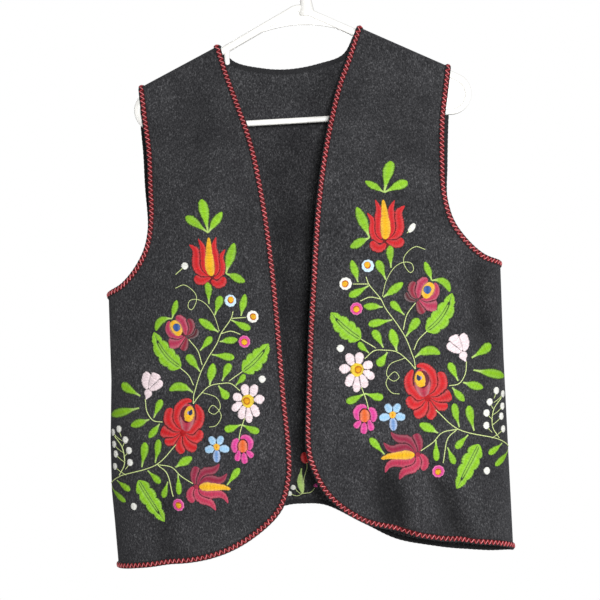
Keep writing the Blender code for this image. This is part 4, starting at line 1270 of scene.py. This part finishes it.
def embroider(name, patches, fronts=("left", "right")):
    """The same patches on both fronts, or on one, as one piece on each."""
    for word in fronts:
        sewn_piece(f"{name}_{word}", patches, f"front_{word}", laid_on(word))


embroider("red_rose", petals_at((0, 0), ROSE, rim=0.06))


# ---------------------------------------------------------------- plum roses
# A smaller rose above, half open, in plum and cherry satin stitch round a yellow eye.
CHERRY, DARK_CHERRY, CHERRY_SHADOW = dyed(170, 46, 78), dyed(132, 25, 49), dyed(78, 8, 26)


def button(centre, radius, colour, **more):
    """A row of a motif's table for a round cushion."""
    u, v = centre
    return ("disc", colour, 2 * radius, [(u, v - radius), (u, v + radius)], more)


PLUM_ROSE = [
    ("oval", CHERRY_SHADOW, 26, [(1, -15), (-1, 0), (-2, 15)], {"lift": -0.8}),
    ("round", CHERRY, 10.8, [(-6.6, -1.8), (-5.6, 9), (-1, 17.4), (5.6, 21.2)]),
    (
        "round", DARK_CHERRY, 10.4,
        [(-8, -2.2), (-13.1, 3.4), (-13.6, 11.3), (-10.3, 17.6)],
        {"shade": -0.3},
    ),
    (
        "petal", CHERRY_SHADOW, 8,
        [(-8.5, -5.5), (-16.9, -2.7), (-21, 4.6)],
        {"shade": -0.4, "rim": 0.14},
    ),
    ("petal", DARK_CHERRY, 10.4, [(-6.6, -6), (-3.8, -12.5), (0, -20.8)], {"shade": 0.25}),
    ("fan", CHERRY, 14, [(-4.7, -4.1), (3.7, -10.2), (17.2, -11.6)], {"shade": -0.1}),
    (
        "crescent", CHERRY, 7.8,
        [(-2.4, -3.2), (3.7, -4.1), (10.2, -2.2), (15.4, 2.4), (16.8, 9.9), (14.4, 16.8)],
    ),
    ("oval", YELLOW, 15.6, [(2.6, -2.4), (5.6, 7), (11, 16.4)], {"lift": 0.3}),
    button((5.2, 8), 4.9, BLUE, lift=1.0),
]
embroider("plum_rose", petals_at((-2.4, 114.1), PLUM_ROSE, rim=0.10))


# ---------------------------------------------------------------- daisies
# A daisy in satin stitch: eight petals in the palest pink, and a yellow button with an amber
# round on it and a lighter one on that.
DAISY = [
    ("oval", PINK, 10.6, [(-4.3, 5.6), (-11.9, 19.4)]),
    ("oval", PINK, 10.6, [(0.9, 6.6), (3.9, 21.1)]),
    ("oval", PINK, 10.2, [(7, 3.8), (18.6, 7.9)]),
    ("oval", PINK, 9.6, [(7.4, -1.2), (20.8, -9.6)]),
    ("oval", PINK, 10.4, [(5.2, -5.2), (10.7, -21.1)]),
    ("oval", PINK, 9.8, [(0.2, -7.5), (-0.3, -26.7)]),
    ("oval", PINK, 11.2, [(-4.8, -4.5), (-11.2, -19.6)]),
    ("lens", PINK, 11.4, [(-5.2, 0.8), (-21.6, 1.9)]),
    button((0, 0), 8.2, dyed(222, 190, 44), lift=0.2, deep=0.3, rim=0.04),
    (
        "round", ORANGE * 0.55 + YELLOW * 0.2, 9.6,
        [(1.1, -4.7), (1.3, 5.1)],
        {"lift": 0.5, "rim": 0},
    ),
    ("round", ORANGE * 0.2 + YELLOW * 0.8, 6.2, [(1.3, -3), (1.4, 3.3)], {"lift": 0.9, "rim": 0}),
]
embroider("daisy", petals_at((-85.8, 29.9), DAISY, deep=0.55))


# ---------------------------------------------------------------- magenta flowers
# A small cup-shaped flower in satin stitch: two magenta petals curl round an orange heart with
# a dark red rim, and three short ones hang below.
CUP = [
    (
        "crescent", MAGENTA, 8.4,
        [(-8.9, -2.6), (-11.3, 2.8), (-11.2, 7.9), (-8.5, 11.6), (-4.3, 13.2), (0.6, 11.9)],
    ),
    ("crescent", MAGENTA, 8.6, [(2.6, 11.6), (6.7, 8.8), (9, 4.6), (9.3, 0.9), (8.2, -4.8)]),
    ("petal", MAGENTA, 7.8, [(-5.8, -2.6), (-13.4, -11.6)]),
    ("round", MAGENTA, 8.4, [(-1.7, -5), (-2.6, -19)]),
    ("round", MAGENTA, 8.2, [(3.2, -2.2), (7.6, -14.9)]),
    ("oval", dyed(170, 20, 24), 14.2, [(-2.6, 11), (-0.9, -5.6)], {"rim": 0.02}),
    ("oval", dyed(218, 96, 34), 12.6, [(-2.4, 10.2), (-1, -4.8)], {"lift": 0.3, "rim": 0.12}),
]
embroider("magenta_flower", petals_at((-76.1, -28.5), CUP))


# ---------------------------------------------------------------- forget-me-nots
# Four light-blue petals and a deeper blue one at the foot, in satin stitch, round a yellow
# button with an orange dot.
FORGET_ME_NOT = [
    ("oval", SKY, 9, [(-2, 3), (-8, 13)], {"rim": 0.22}),
    ("oval", SKY, 9, [(2.2, 2.8), (7.6, 13.4)], {"rim": 0.22}),
    ("oval", SKY, 9.6, [(2.8, -0.8), (15.3, -3.3)], {"rim": 0.22}),
    ("oval", dyed(104, 142, 196), 9.4, [(0.2, -2.8), (1.9, -18.6)], {"rim": 0.35}),
    ("oval", SKY, 9.2, [(-2.6, -1.6), (-16, -3.7)], {"rim": 0.22}),
    button((0, 0), 4.2, YELLOW, lift=0.35),
    button((0, 0), 2, ORANGE, lift=0.75, rim=0.05),
]
embroider("forget_me_not", petals_at((-43.9, -26.8), FORGET_ME_NOT))


# ---------------------------------------------------------------- pink buds
# A bud of three pale pink petals in a small rounded cup, in satin stitch over a rosy ground
# that shows between them.
BUD = [
    ("fan", PINK * 0.62, 18, [(5, -4), (0, 6), (-3, 9)], {"lift": -0.7}),
    ("petal", PINK, 9.6, [(4.4, -5.4), (-1, -4.3), (-5.3, -2.4), (-9.7, 0.7), (-13.4, 4.6)]),
    ("fan", PINK, 12.6, [(4, -4.6), (1.2, 0.4), (-1.9, 4.7), (-5.3, 9.1), (-7.5, 13.6)]),
    ("petal", PINK, 10.2, [(6.8, -5), (8.7, 0.4), (9, 5.4), (7.1, 10.6), (3.4, 15.6)]),
    ("lens", PINK, 10.6, [(9.2, -17.8), (6.6, -11.5), (5.4, -5)]),
]
embroider("pink_bud", petals_at((39.6, 50.2), BUD, deep=0.6))


# ---------------------------------------------------------------- red tulips
# A tulip seen from the side at the top of each spray: four curling flames, a yellow heart and
# two short outer petals.
TULIP = [
    # A dark red underlay: painted shade that shows in the seams between the petals.
    ("oval", RED * 0.2, 30, [(0, -9), (0, 12), (0, 35)], {"lift": -0.8}),
    ("flame", RED, 8.4, [(-4.2, -1.3), (-13, 3.4), (-16.2, 14.1), (-15.6, 23.4), (-21.9, 33.8)]),
    ("flame", RED, 9.4, [(-5.6, 2.4), (-10.1, 11.8), (-9.6, 23.4), (-7.9, 37.4), (-12, 49.8)]),
    ("flame", RED, 9.6, [(2.8, 2), (8, 11.3), (8.6, 20.6), (7, 30.4), (7, 39.8), (11.2, 49.4)]),
    (
        "flame", RED, 12.4,
        [(3.6, 3), (12.6, 8), (16.4, 16.4), (15.6, 28.1), (16.3, 35.5), (23.4, 43)],
    ),
    (
        "drop", YELLOW * 0.94, 13.6,
        [(-1.4, 2), (0, 13.1), (-0.9, 28.1), (-2.6, 49.8)],
        {"lift": 0.2},
    ),
    ("petal", RED, 11, [(-0.5, -3.2), (-6.1, -8.3), (-12.6, -7.8), (-16.9, -0.3)]),
    ("petal", RED, 11, [(0.5, 0.6), (7.9, -1.8), (14.5, -2.7), (20.3, 3.1)]),
]
embroider("red_tulip", petals_at((-44.2, 183.9), TULIP, rim=0.05))


# ---------------------------------------------------------------- plum tulips
# The same tulip lying on its side at the foot of the spray, darker above than below.
DARK_PLUM, WINE = dyed(138, 30, 60), dyed(180, 50, 80)
PLUM_TULIP = [
    # A dark plum underlay: painted shade that shows in the seams between the petals.
    ("oval", DARK_PLUM * 0.25, 22, [(1, -5), (-14, -4), (-31, -3)], {"lift": -0.8}),
    ("disc", WINE * 0.7, 7, [(-7.5, -4.5), (-1, -4.3)], {"lift": -0.3, "rim": 0}),
    (
        "flame", DARK_PLUM, 11.6,
        [(-6.6, -1.7), (-8.7, 4.2), (-12.4, 9.8), (-18, 13.5), (-24.6, 14.4), (-30.2, 16.3),
         (-33.4, 18.8), (-36.5, 22.6)],
    ),
    (
        "flame", DARK_PLUM, 11,
        [(-8.9, -3.1), (-11, 1.4), (-14.3, 4.2), (-19.4, 5.6), (-25.5, 3.7), (-31.6, 2),
         (-36.7, 2.3), (-40.9, 4.9), (-45.3, 9.8)],
    ),
    (
        "petal", DARK_PLUM, 11.2,
        [(-3.3, -0.5), (-2.1, 3.7), (-2.6, 8.4), (-4, 13), (-5.4, 17.2), (-6.2, 21)],
    ),
    (
        "flame", WINE, 10.6,
        [(-7.3, -8), (-11.5, -12.3), (-18, -14.3), (-25.5, -14.1), (-32, -14.5), (-36.7, -16.2),
         (-40, -19.9), (-42.7, -26.9)],
    ),
    (
        "flame", WINE, 11.2,
        [(-5.9, -6.6), (-4.2, -10.3), (-4.9, -15), (-8.2, -18.7), (-13.4, -21.5), (-18.5, -23.9),
         (-22.2, -27.1), (-25.9, -34.6)],
    ),
    (
        "petal", WINE, 10,
        [(-0.7, -3.8), (2.1, -7.1), (4.4, -11.3), (5.1, -15), (3.9, -18.7), (1.6, -22.9)],
    ),
    (
        "drop", YELLOW, 12.4,
        [(-8.1, -4.5), (-15.2, -4.5), (-21.8, -4.9), (-28.3, -5.6), (-34.8, -6.3), (-39.5, -7.1),
         (-48, -9.8)],
        {"lift": 0.1},
    ),
]
embroider("plum_tulip", petals_at((-10.8, -72.3), PLUM_TULIP, rim=0.07))


# ---------------------------------------------------------------- small flowers and berries
# Round florets, each a scalloped ring of stitches round an orange and yellow dot, and white
# berries, little padded buttons, which hang like lily-of-the-valley on the outer side.
FLORETS = [  # middle, middle of its eye, colour
    ((-68, 155), (-68.8, 156.3), dyed(190, 220, 238)),
    ((-96, 135), (-97, 134.7), WHITE),
    ((-84, 104), (-84, 103.1), MAGENTA),
    ((10, -99), (9.6, -99.8), MAGENTA),
]
FLORET_RADIUS, FLORET_EYE, FLORET_CROWN = 7.7, 4.8, 0.85
FLORET_HOLE, FLORET_MIDDLE = 0.66, 0.78  # shares of the eye's radius
BERRIES = [
    (91, -7), (104, -12), (80, -20), (102, -27), (75, -33), (99, -39), (74, -48), (102, -55),
]
LOOSE_BERRIES = [(-105, 57), (72, -103)]
BERRY_RADIUS = 4.4


def floret(centre, colour, petals=9):
    """A ring of satin stitch: sections out along each angle w, from the eye's edge to the
    scalloped radius R (0.95 + 0.08 |cos(petals w / 2)|), rising between them like a cushion."""
    stitches = round(2 * math.pi * FLORET_RADIUS / STITCH)
    rows = np.arange(2 * stitches)
    angle = rows * math.pi / stitches
    reach = FLORET_RADIUS * (0.95 + 0.08 * np.abs(np.cos(petals * angle / 2)))
    inner = FLORET_HOLE * FLORET_EYE
    place = (inner + reach[:, None]) / 2 + (reach[:, None] - inner) / 2 * ACROSS
    place = place[:, SECTION]
    bulge = FLORET_CROWN * ROUND_TOP + RIDGE * (rows % 2)[:, None]
    way = np.stack([np.cos(angle), np.sin(angle)], axis=-1)[:, None]
    flat = np.array(centre) + place[..., None] * way
    dyes_and_light = colour * (1 + 0.05 * rng.standard_normal(len(rows)))[:, None, None]
    return cushion(flat, bulge, dyes_and_light, place, rim=0.2, deep=0.4, closed=True)


small = [floret(centre, colour) for centre, _, colour in FLORETS]
iris = button((0, 0), FLORET_EYE, ORANGE * 0.8, lift=0.2, rim=0)
dot = button((0, 0), FLORET_MIDDLE * FLORET_EYE, YELLOW, lift=0.5, rim=0.05)
for _, eye, _ in FLORETS:
    small += petals_at(eye, [iris, dot])
berry = [button((0, 0), BERRY_RADIUS, WHITE, lift=0.3)]
for centre in BERRIES + LOOSE_BERRIES:
    small += petals_at(centre, berry)
embroider("florets_and_berries", small)
embroider("white_bud", [satin("oval", [(-16, 193), (-8, 203)], 6.5, WHITE)], ["right"])
embroider("white_bud", petals_at((-11.3, 198.6), berry), ["left"])


# ---------------------------------------------------------------- leaves
# Plain leaves: narrow at the stalk, widest beyond the middle, in bright green satin stitch.
# Each row is base, tip and width, and its bend where it has one.
LEAVES = [
    ((-47, 137), (-56, 161), 9.5),
    ((-81, 136), (-87, 163), 8.8),
    ((-68, 131), (-92, 119), 9),
    ((-52, 104), (-75, 107), 8.4),
    ((-51, 116), (-26, 132), 9.5),
    ((-26, 93), (-42, 110), 8),
    ((-41, 88), (-70, 84), 9),
    ((-25, 67), (-9, 88), 10.8),
    ((9, 133), (2, 156), 7.6),
    ((9, 133), (31, 118), 8.4, 0.24),
    ((-53, 55), (-64, 77), 9.4),
    ((-37, 50), (-42, 77), 10.8),
    ((-15, 41), (16, 43), 10.5, 0.2),
    ((56, 36), (85, 50), 11.4),
    ((38, 9), (27, 32), 8.8),
    ((58, 21), (111, 9), 10.4),
    ((44, 7), (71, -2), 9.4),
    ((30, 2), (45, -16), 8.4),
    ((38, -47), (31, -18), 8.8),
    ((57, -53), (50, -22), 10.4),
    ((49, -57), (32, -72), 8.4),
    ((8, -60), (8, -86), 7.4),
    ((22, -70), (30, -91), 7.4),
    ((99, -72), (76, -83), 7.8),
    ((116, -82), (85, -98), 7.8),
    ((11, -52), (-11, -39), 10),
    ((-55, -74), (-72, -53), 8),
    ((-77, 1), (-99, -9), 8.8),
    ((-77, 1), (-55, -6), 9.2),
    ((-48.1, 49.4), (-60.2, 33.2), 10),
    ((-70.6, 49.5), (-83.5, 62.4), 7.4),
    ((-40, 151), (-40, 178), 8.8),
    ((-64, 189), (-77, 227), 11.5),
    ((-64, 189), (-88, 179), 10),
]
TOP_LEAVES = {
    "right": [
        ((-43, 243), (-65, 258), 7.8),
        ((-43, 243), (-33, 281), 13),
        ((-43, 243), (-14, 255), 11),
    ],
    "left": [
        ((-44.5, 240), (-64, 266), 9.5),
        ((-44.5, 240), (-39, 282), 12.5),
        ((-44.5, 240), (-17, 261), 11),
    ],
}
# Leaves end in darker painted shade at their sides, which reach further beyond the stitches.
LEAF_SIDES = {"deep": 0.2, "skirt": 0.9}


def bent(base, tip, bend):
    """Places from base to tip, off the straight run by bend * 4 s (1 - s) of its length."""
    base, tip = np.array(base, float), np.array(tip, float)
    share = np.linspace(0, 1, 5)[:, None]
    sideways = np.array([base[1] - tip[1], tip[0] - base[0]])
    return base + share * (tip - base) + bend * 4 * share * (1 - share) * sideways


def leaf(base, tip, width, bend=0):
    """A plain leaf, a little lighter or darker and its stitches more or less slanted than the
    next one's."""
    shade, skew = rng.uniform(0.90, 1.08), rng.uniform(-0.3, 0.3)
    shape = "lens" if skew > 0.12 else "spoon"
    line, foot = bent(base, tip, bend), (STALK + GREEN) / 2
    return satin(shape, line, width, GREEN * shade, rim=0.05, skew=skew, foot=foot, **LEAF_SIDES)


embroider("leaves", [leaf(*row) for row in LEAVES])
for word, rows in TOP_LEAVES.items():
    embroider("top_leaves", [leaf(*row) for row in rows], [word])


# ---------------------------------------------------------------- toothed leaves
# Three large leaves with rounded teeth. Each is worked as two halves on either side of a
# narrow raised vein, with the felt showing in two thin lines between.
TOOTHED = [  # base, tip, width, bend
    ((0, 72), (34, 116), 24, -0.10),
    ((-80, 67), (-115, 101), 23, 0.05),
    ((63, -70), (31, -121), 23, 0),
]
TEETH = 4
VEIN_WIDTH = 2.2
toothed = []
for base, tip, width, bend in TOOTHED:
    line = bent(base, tip, bend)
    for half in (-1, 1):
        sides = {"half": half, "lobes": TEETH, **LEAF_SIDES}
        toothed.append(satin("toothed", line, width, GREEN, rim=0.07, **sides))
    toothed.append(satin("oval", line[:-1], VEIN_WIDTH, GREEN, lift=0.1))
embroider("toothed_leaves", toothed)


# ---------------------------------------------------------------- stems
# Stem stitch in pale yellow-green thread: the main stem up through the spray, its side stems,
# two curling tendrils, and the short stalks of the berries.
STEM_RADIUS, STEM_RAISED = 0.62, 0.4
TWIST = 2.4  # length of one stitch of stem stitch
STEMS = [
    [(-15, 27), (-16, 38), (-18, 44), (-25, 64), (-35, 82), (-49, 103), (-54, 114), (-68, 133),
     (-71, 142)],
    [(-80, 67), (-62, 55)],
    [(-76, 43), (-64, 52), (-52, 52), (-37, 49), (-24, 38), (-15, 27)],
    [(-12, 107), (-23, 93), (-28, 75)],
    [(1, 72), (-10, 62), (-16, 50)],
    [(-87, 134), (-68, 133)],
    [(-79, 113), (-67, 117), (-54, 114)],
    [(9, -24), (36, -49), (91, -66), (117, -78)],
    [(36, -49), (16, -52), (4, -63), (-11, -72)],
    [(34, -50), (23, -59), (16, -89)],
    [(49, 32), (47, 17), (39, 6), (26, 4)],
    [(-81, 9), (-75, -8), (-73, -18)],
    [(93, -65), (83, -50), (86, -29), (100, -16)],
]
BUD_STALKS = {"right": [(-12, 198), (-18, 192)], "left": [(-11, 198), (1.5, 188.2)]}
TENDRILS = [
    [(3, 171), (-9, 175), (-23, 164), (-24, 155), (-17, 144), (-13, 147), (-15, 155), (-24, 157),
     (-35, 152), (-46, 137), (-52, 117)],
    [(-27, 41), (-46, 34), (-50, 22), (-42, 14), (-35, 18), (-40, 25), (-48, 19), (-51, 11),
     (-44, 0), (-35, -2)],
]
TENDRIL_RADIUS, BERRY_STALK_RADIUS, BUD_STALK_RADIUS = 0.44, 0.45, 0.5


def stem_stitch(points, radius=STEM_RADIUS):
    """A thread along a smooth curve through points in the flat, with the twist of its stitches
    as a swelling: radius * (1 + 0.14 sin(2 pi length / TWIST))."""
    curve = smooth_curve(np.array(points, float), 8)
    run = lengths_of(curve)
    even = np.linspace(0, run[-1], max(6, round(run[-1] / 0.8)))
    path = np.column_stack([read_off(curve, run, even), np.full(len(even), STEM_RAISED)])
    wave = np.sin(2 * np.pi * even / TWIST)
    sections = round_sections(path, np.array([0.0, 0.0, 1.0]), radius * (1 + 0.14 * wave))
    tone = 1 + 0.15 * wave + 0.05 * rng.standard_normal(len(even))
    return sections, *yarn_look(STALK * tone[:, None], even), False


stems = [stem_stitch(points) for points in STEMS]
stems += [stem_stitch(points, TENDRIL_RADIUS) for points in TENDRILS]
for u, v in BERRIES:
    foot = (84 + 0.12 * (v + 30), v - 9)  # on the stem that the berries hang from
    stalk = [(u, v), ((u + foot[0]) / 2, v - 5), foot]
    stems.append(stem_stitch(stalk, BERRY_STALK_RADIUS))
embroider("stems", stems)
for word, stalk in BUD_STALKS.items():
    embroider("bud_stalk", [stem_stitch(stalk, BUD_STALK_RADIUS)], [word])


# ---------------------------------------------------------------- low on the back
# A small spray in the middle of the back, just above the hem: a red bud, a pale green leaf and
# three berries on thin stalks. It shows on both faces, because the stitches go right through.
BACK_SPRAY = [
    # The bud's red is brighter than the fronts' red: painted light, to make up for the shade
    # inside the back.
    ("oval", dyed(246, 48, 52), 9.5, [(-7.5, -637), (-4.5, -651)]),
    ("lens", (GREEN + STALK) / 2, 7.5, [(-10.5, -657), (-12.6, -672), (-11, -689)]),
    ("disc", WHITE, 6.4, [(-21.8, -678), (-21.8, -684.4)]),
    ("disc", WHITE, 6.4, [(-27.5, -685.6), (-27.5, -692)]),
    ("disc", MAGENTA, 5, [(5, -677.8), (5, -682.8)]),
]
BACK_STALKS = [
    [(-10.9, -689), (-8.6, -672), (-4.5, -656), (-4.6, -650)],
    [(-10.9, -689), (-15, -688), (-19, -683)],
    [(-10.9, -689), (-17, -692), (-25, -690)],
    [(-10.9, -689), (-2, -688), (4.2, -682.5)],
]
BACK_STALK_RADIUS = 0.4


def through_back(points, face):
    """Places on the back's outer face (1) or its inner one (-1) for flat points (along, height,
    standing off)."""
    along, height = points[..., 0] / 1000, points[..., 1] / 1000
    normal = outward(along, height, 1)
    under = 0 if face > 0 else FELT
    return cloth(along, height, 1) - normal * under + face * normal * points[..., 2:] / 1000


for name, face in (("back_spray", 1), ("back_spray_inside", -1)):
    patches = [satin(shape, line, width, colour) for shape, colour, width, line in BACK_SPRAY]
    patches += [stem_stitch(points, BACK_STALK_RADIUS) for points in BACK_STALKS]
    sewn_piece(name, patches, "back", lambda points: through_back(points, face))


# ---------------------------------------------------------------- camera, floor and light
# A plain white studio: a pale floor well below the hem, a white surround that lights everything
# a little from all round, and round soft lamps at its front, right, left and back. The front one
# is the strongest, and models the folds.
SURROUND_LIGHT = 0.22
MIDDLE = (0, 0, -0.42)  # of the vest
LAMPS = {  # size, power, place, and what it shines at
    "key_lamp": (0.5, 6, (0.85, -1.0, -0.4), (0.1, 0, -0.42)),
    "fill_lamp": (1.2, 1, (-1.3, -1.5, -0.2), MIDDLE),
    "front_lamp": (0.4, 33, (0.22, -1.9, -0.2), MIDDLE),
    "back_lamp": (1.2, 26, (-0.5, 1.7, 0.1), MIDDLE),
}


def white_surround():
    """White where it is seen, and dimmer as a light, so that the lamps give the modelling."""
    world = bpy.data.worlds.new("white_surround")
    bpy.context.scene.world = world
    world.use_nodes = True
    tree = world.node_tree
    seen = tree.nodes.new("ShaderNodeLightPath").outputs["Is Camera Ray"]
    strength = tree.nodes.new("ShaderNodeMapRange")
    strength.inputs["To Min"].default_value = SURROUND_LIGHT
    tree.links.new(seen, strength.inputs["Value"])
    background = tree.nodes["Background"]
    background.inputs["Color"].default_value = (1, 1, 1, 1)
    tree.links.new(strength.outputs[0], background.inputs["Strength"])


def lamp(name, size, power, place, aim):
    """A round soft lamp at a place, turned to shine at aim."""
    light = bpy.data.lights.new(name, "AREA")
    light.shape, light.size, light.energy = "DISK", size, power
    made = bpy.data.objects.new(name, light)
    made.location = place
    made.rotation_euler = (Vector(place) - Vector(aim)).to_track_quat("Z", "Y").to_euler()
    bpy.context.scene.collection.objects.link(made)


white_surround()
for name, settings in LAMPS.items():
    lamp(name, *settings)

FLOOR_RADIUS, FLOOR_HEIGHT, FLOOR_THICKNESS = 0.7, -1.05, 0.01
rim = FLOOR_RADIUS * np.transpose([*rounded(96), np.zeros(96)])
disc = np.stack([rim + [0, 0, FLOOR_HEIGHT - FLOOR_THICKNESS], rim + [0, 0, FLOOR_HEIGHT]])
floor_finish = Finish("pale_floor")
floor_finish.surface(Base_Color=(0.85, 0.85, 0.84, 1), Roughness=0.9)
make_piece("floor", skin(disc, False), floor_finish.material)

SENSOR_WIDTH, FOCAL_LENGTH = 36, 76.8
CAMERA_PLACE, CAMERA_ROLL = (-0.01772, -1.6, -0.44377), math.radians(-3.3)
camera = bpy.data.objects.new("camera", bpy.data.cameras.new("camera"))
camera.data.sensor_width, camera.data.lens = SENSOR_WIDTH, FOCAL_LENGTH
camera.matrix_world = (
    Matrix.Translation(CAMERA_PLACE)
    @ Matrix.Rotation(math.radians(90), 4, "X")
    @ Matrix.Rotation(CAMERA_ROLL, 4, "Z")
)
bpy.context.scene.collection.objects.link(camera)
bpy.context.scene.camera = camera
bpy.context.scene.view_settings.view_transform = "Standard"
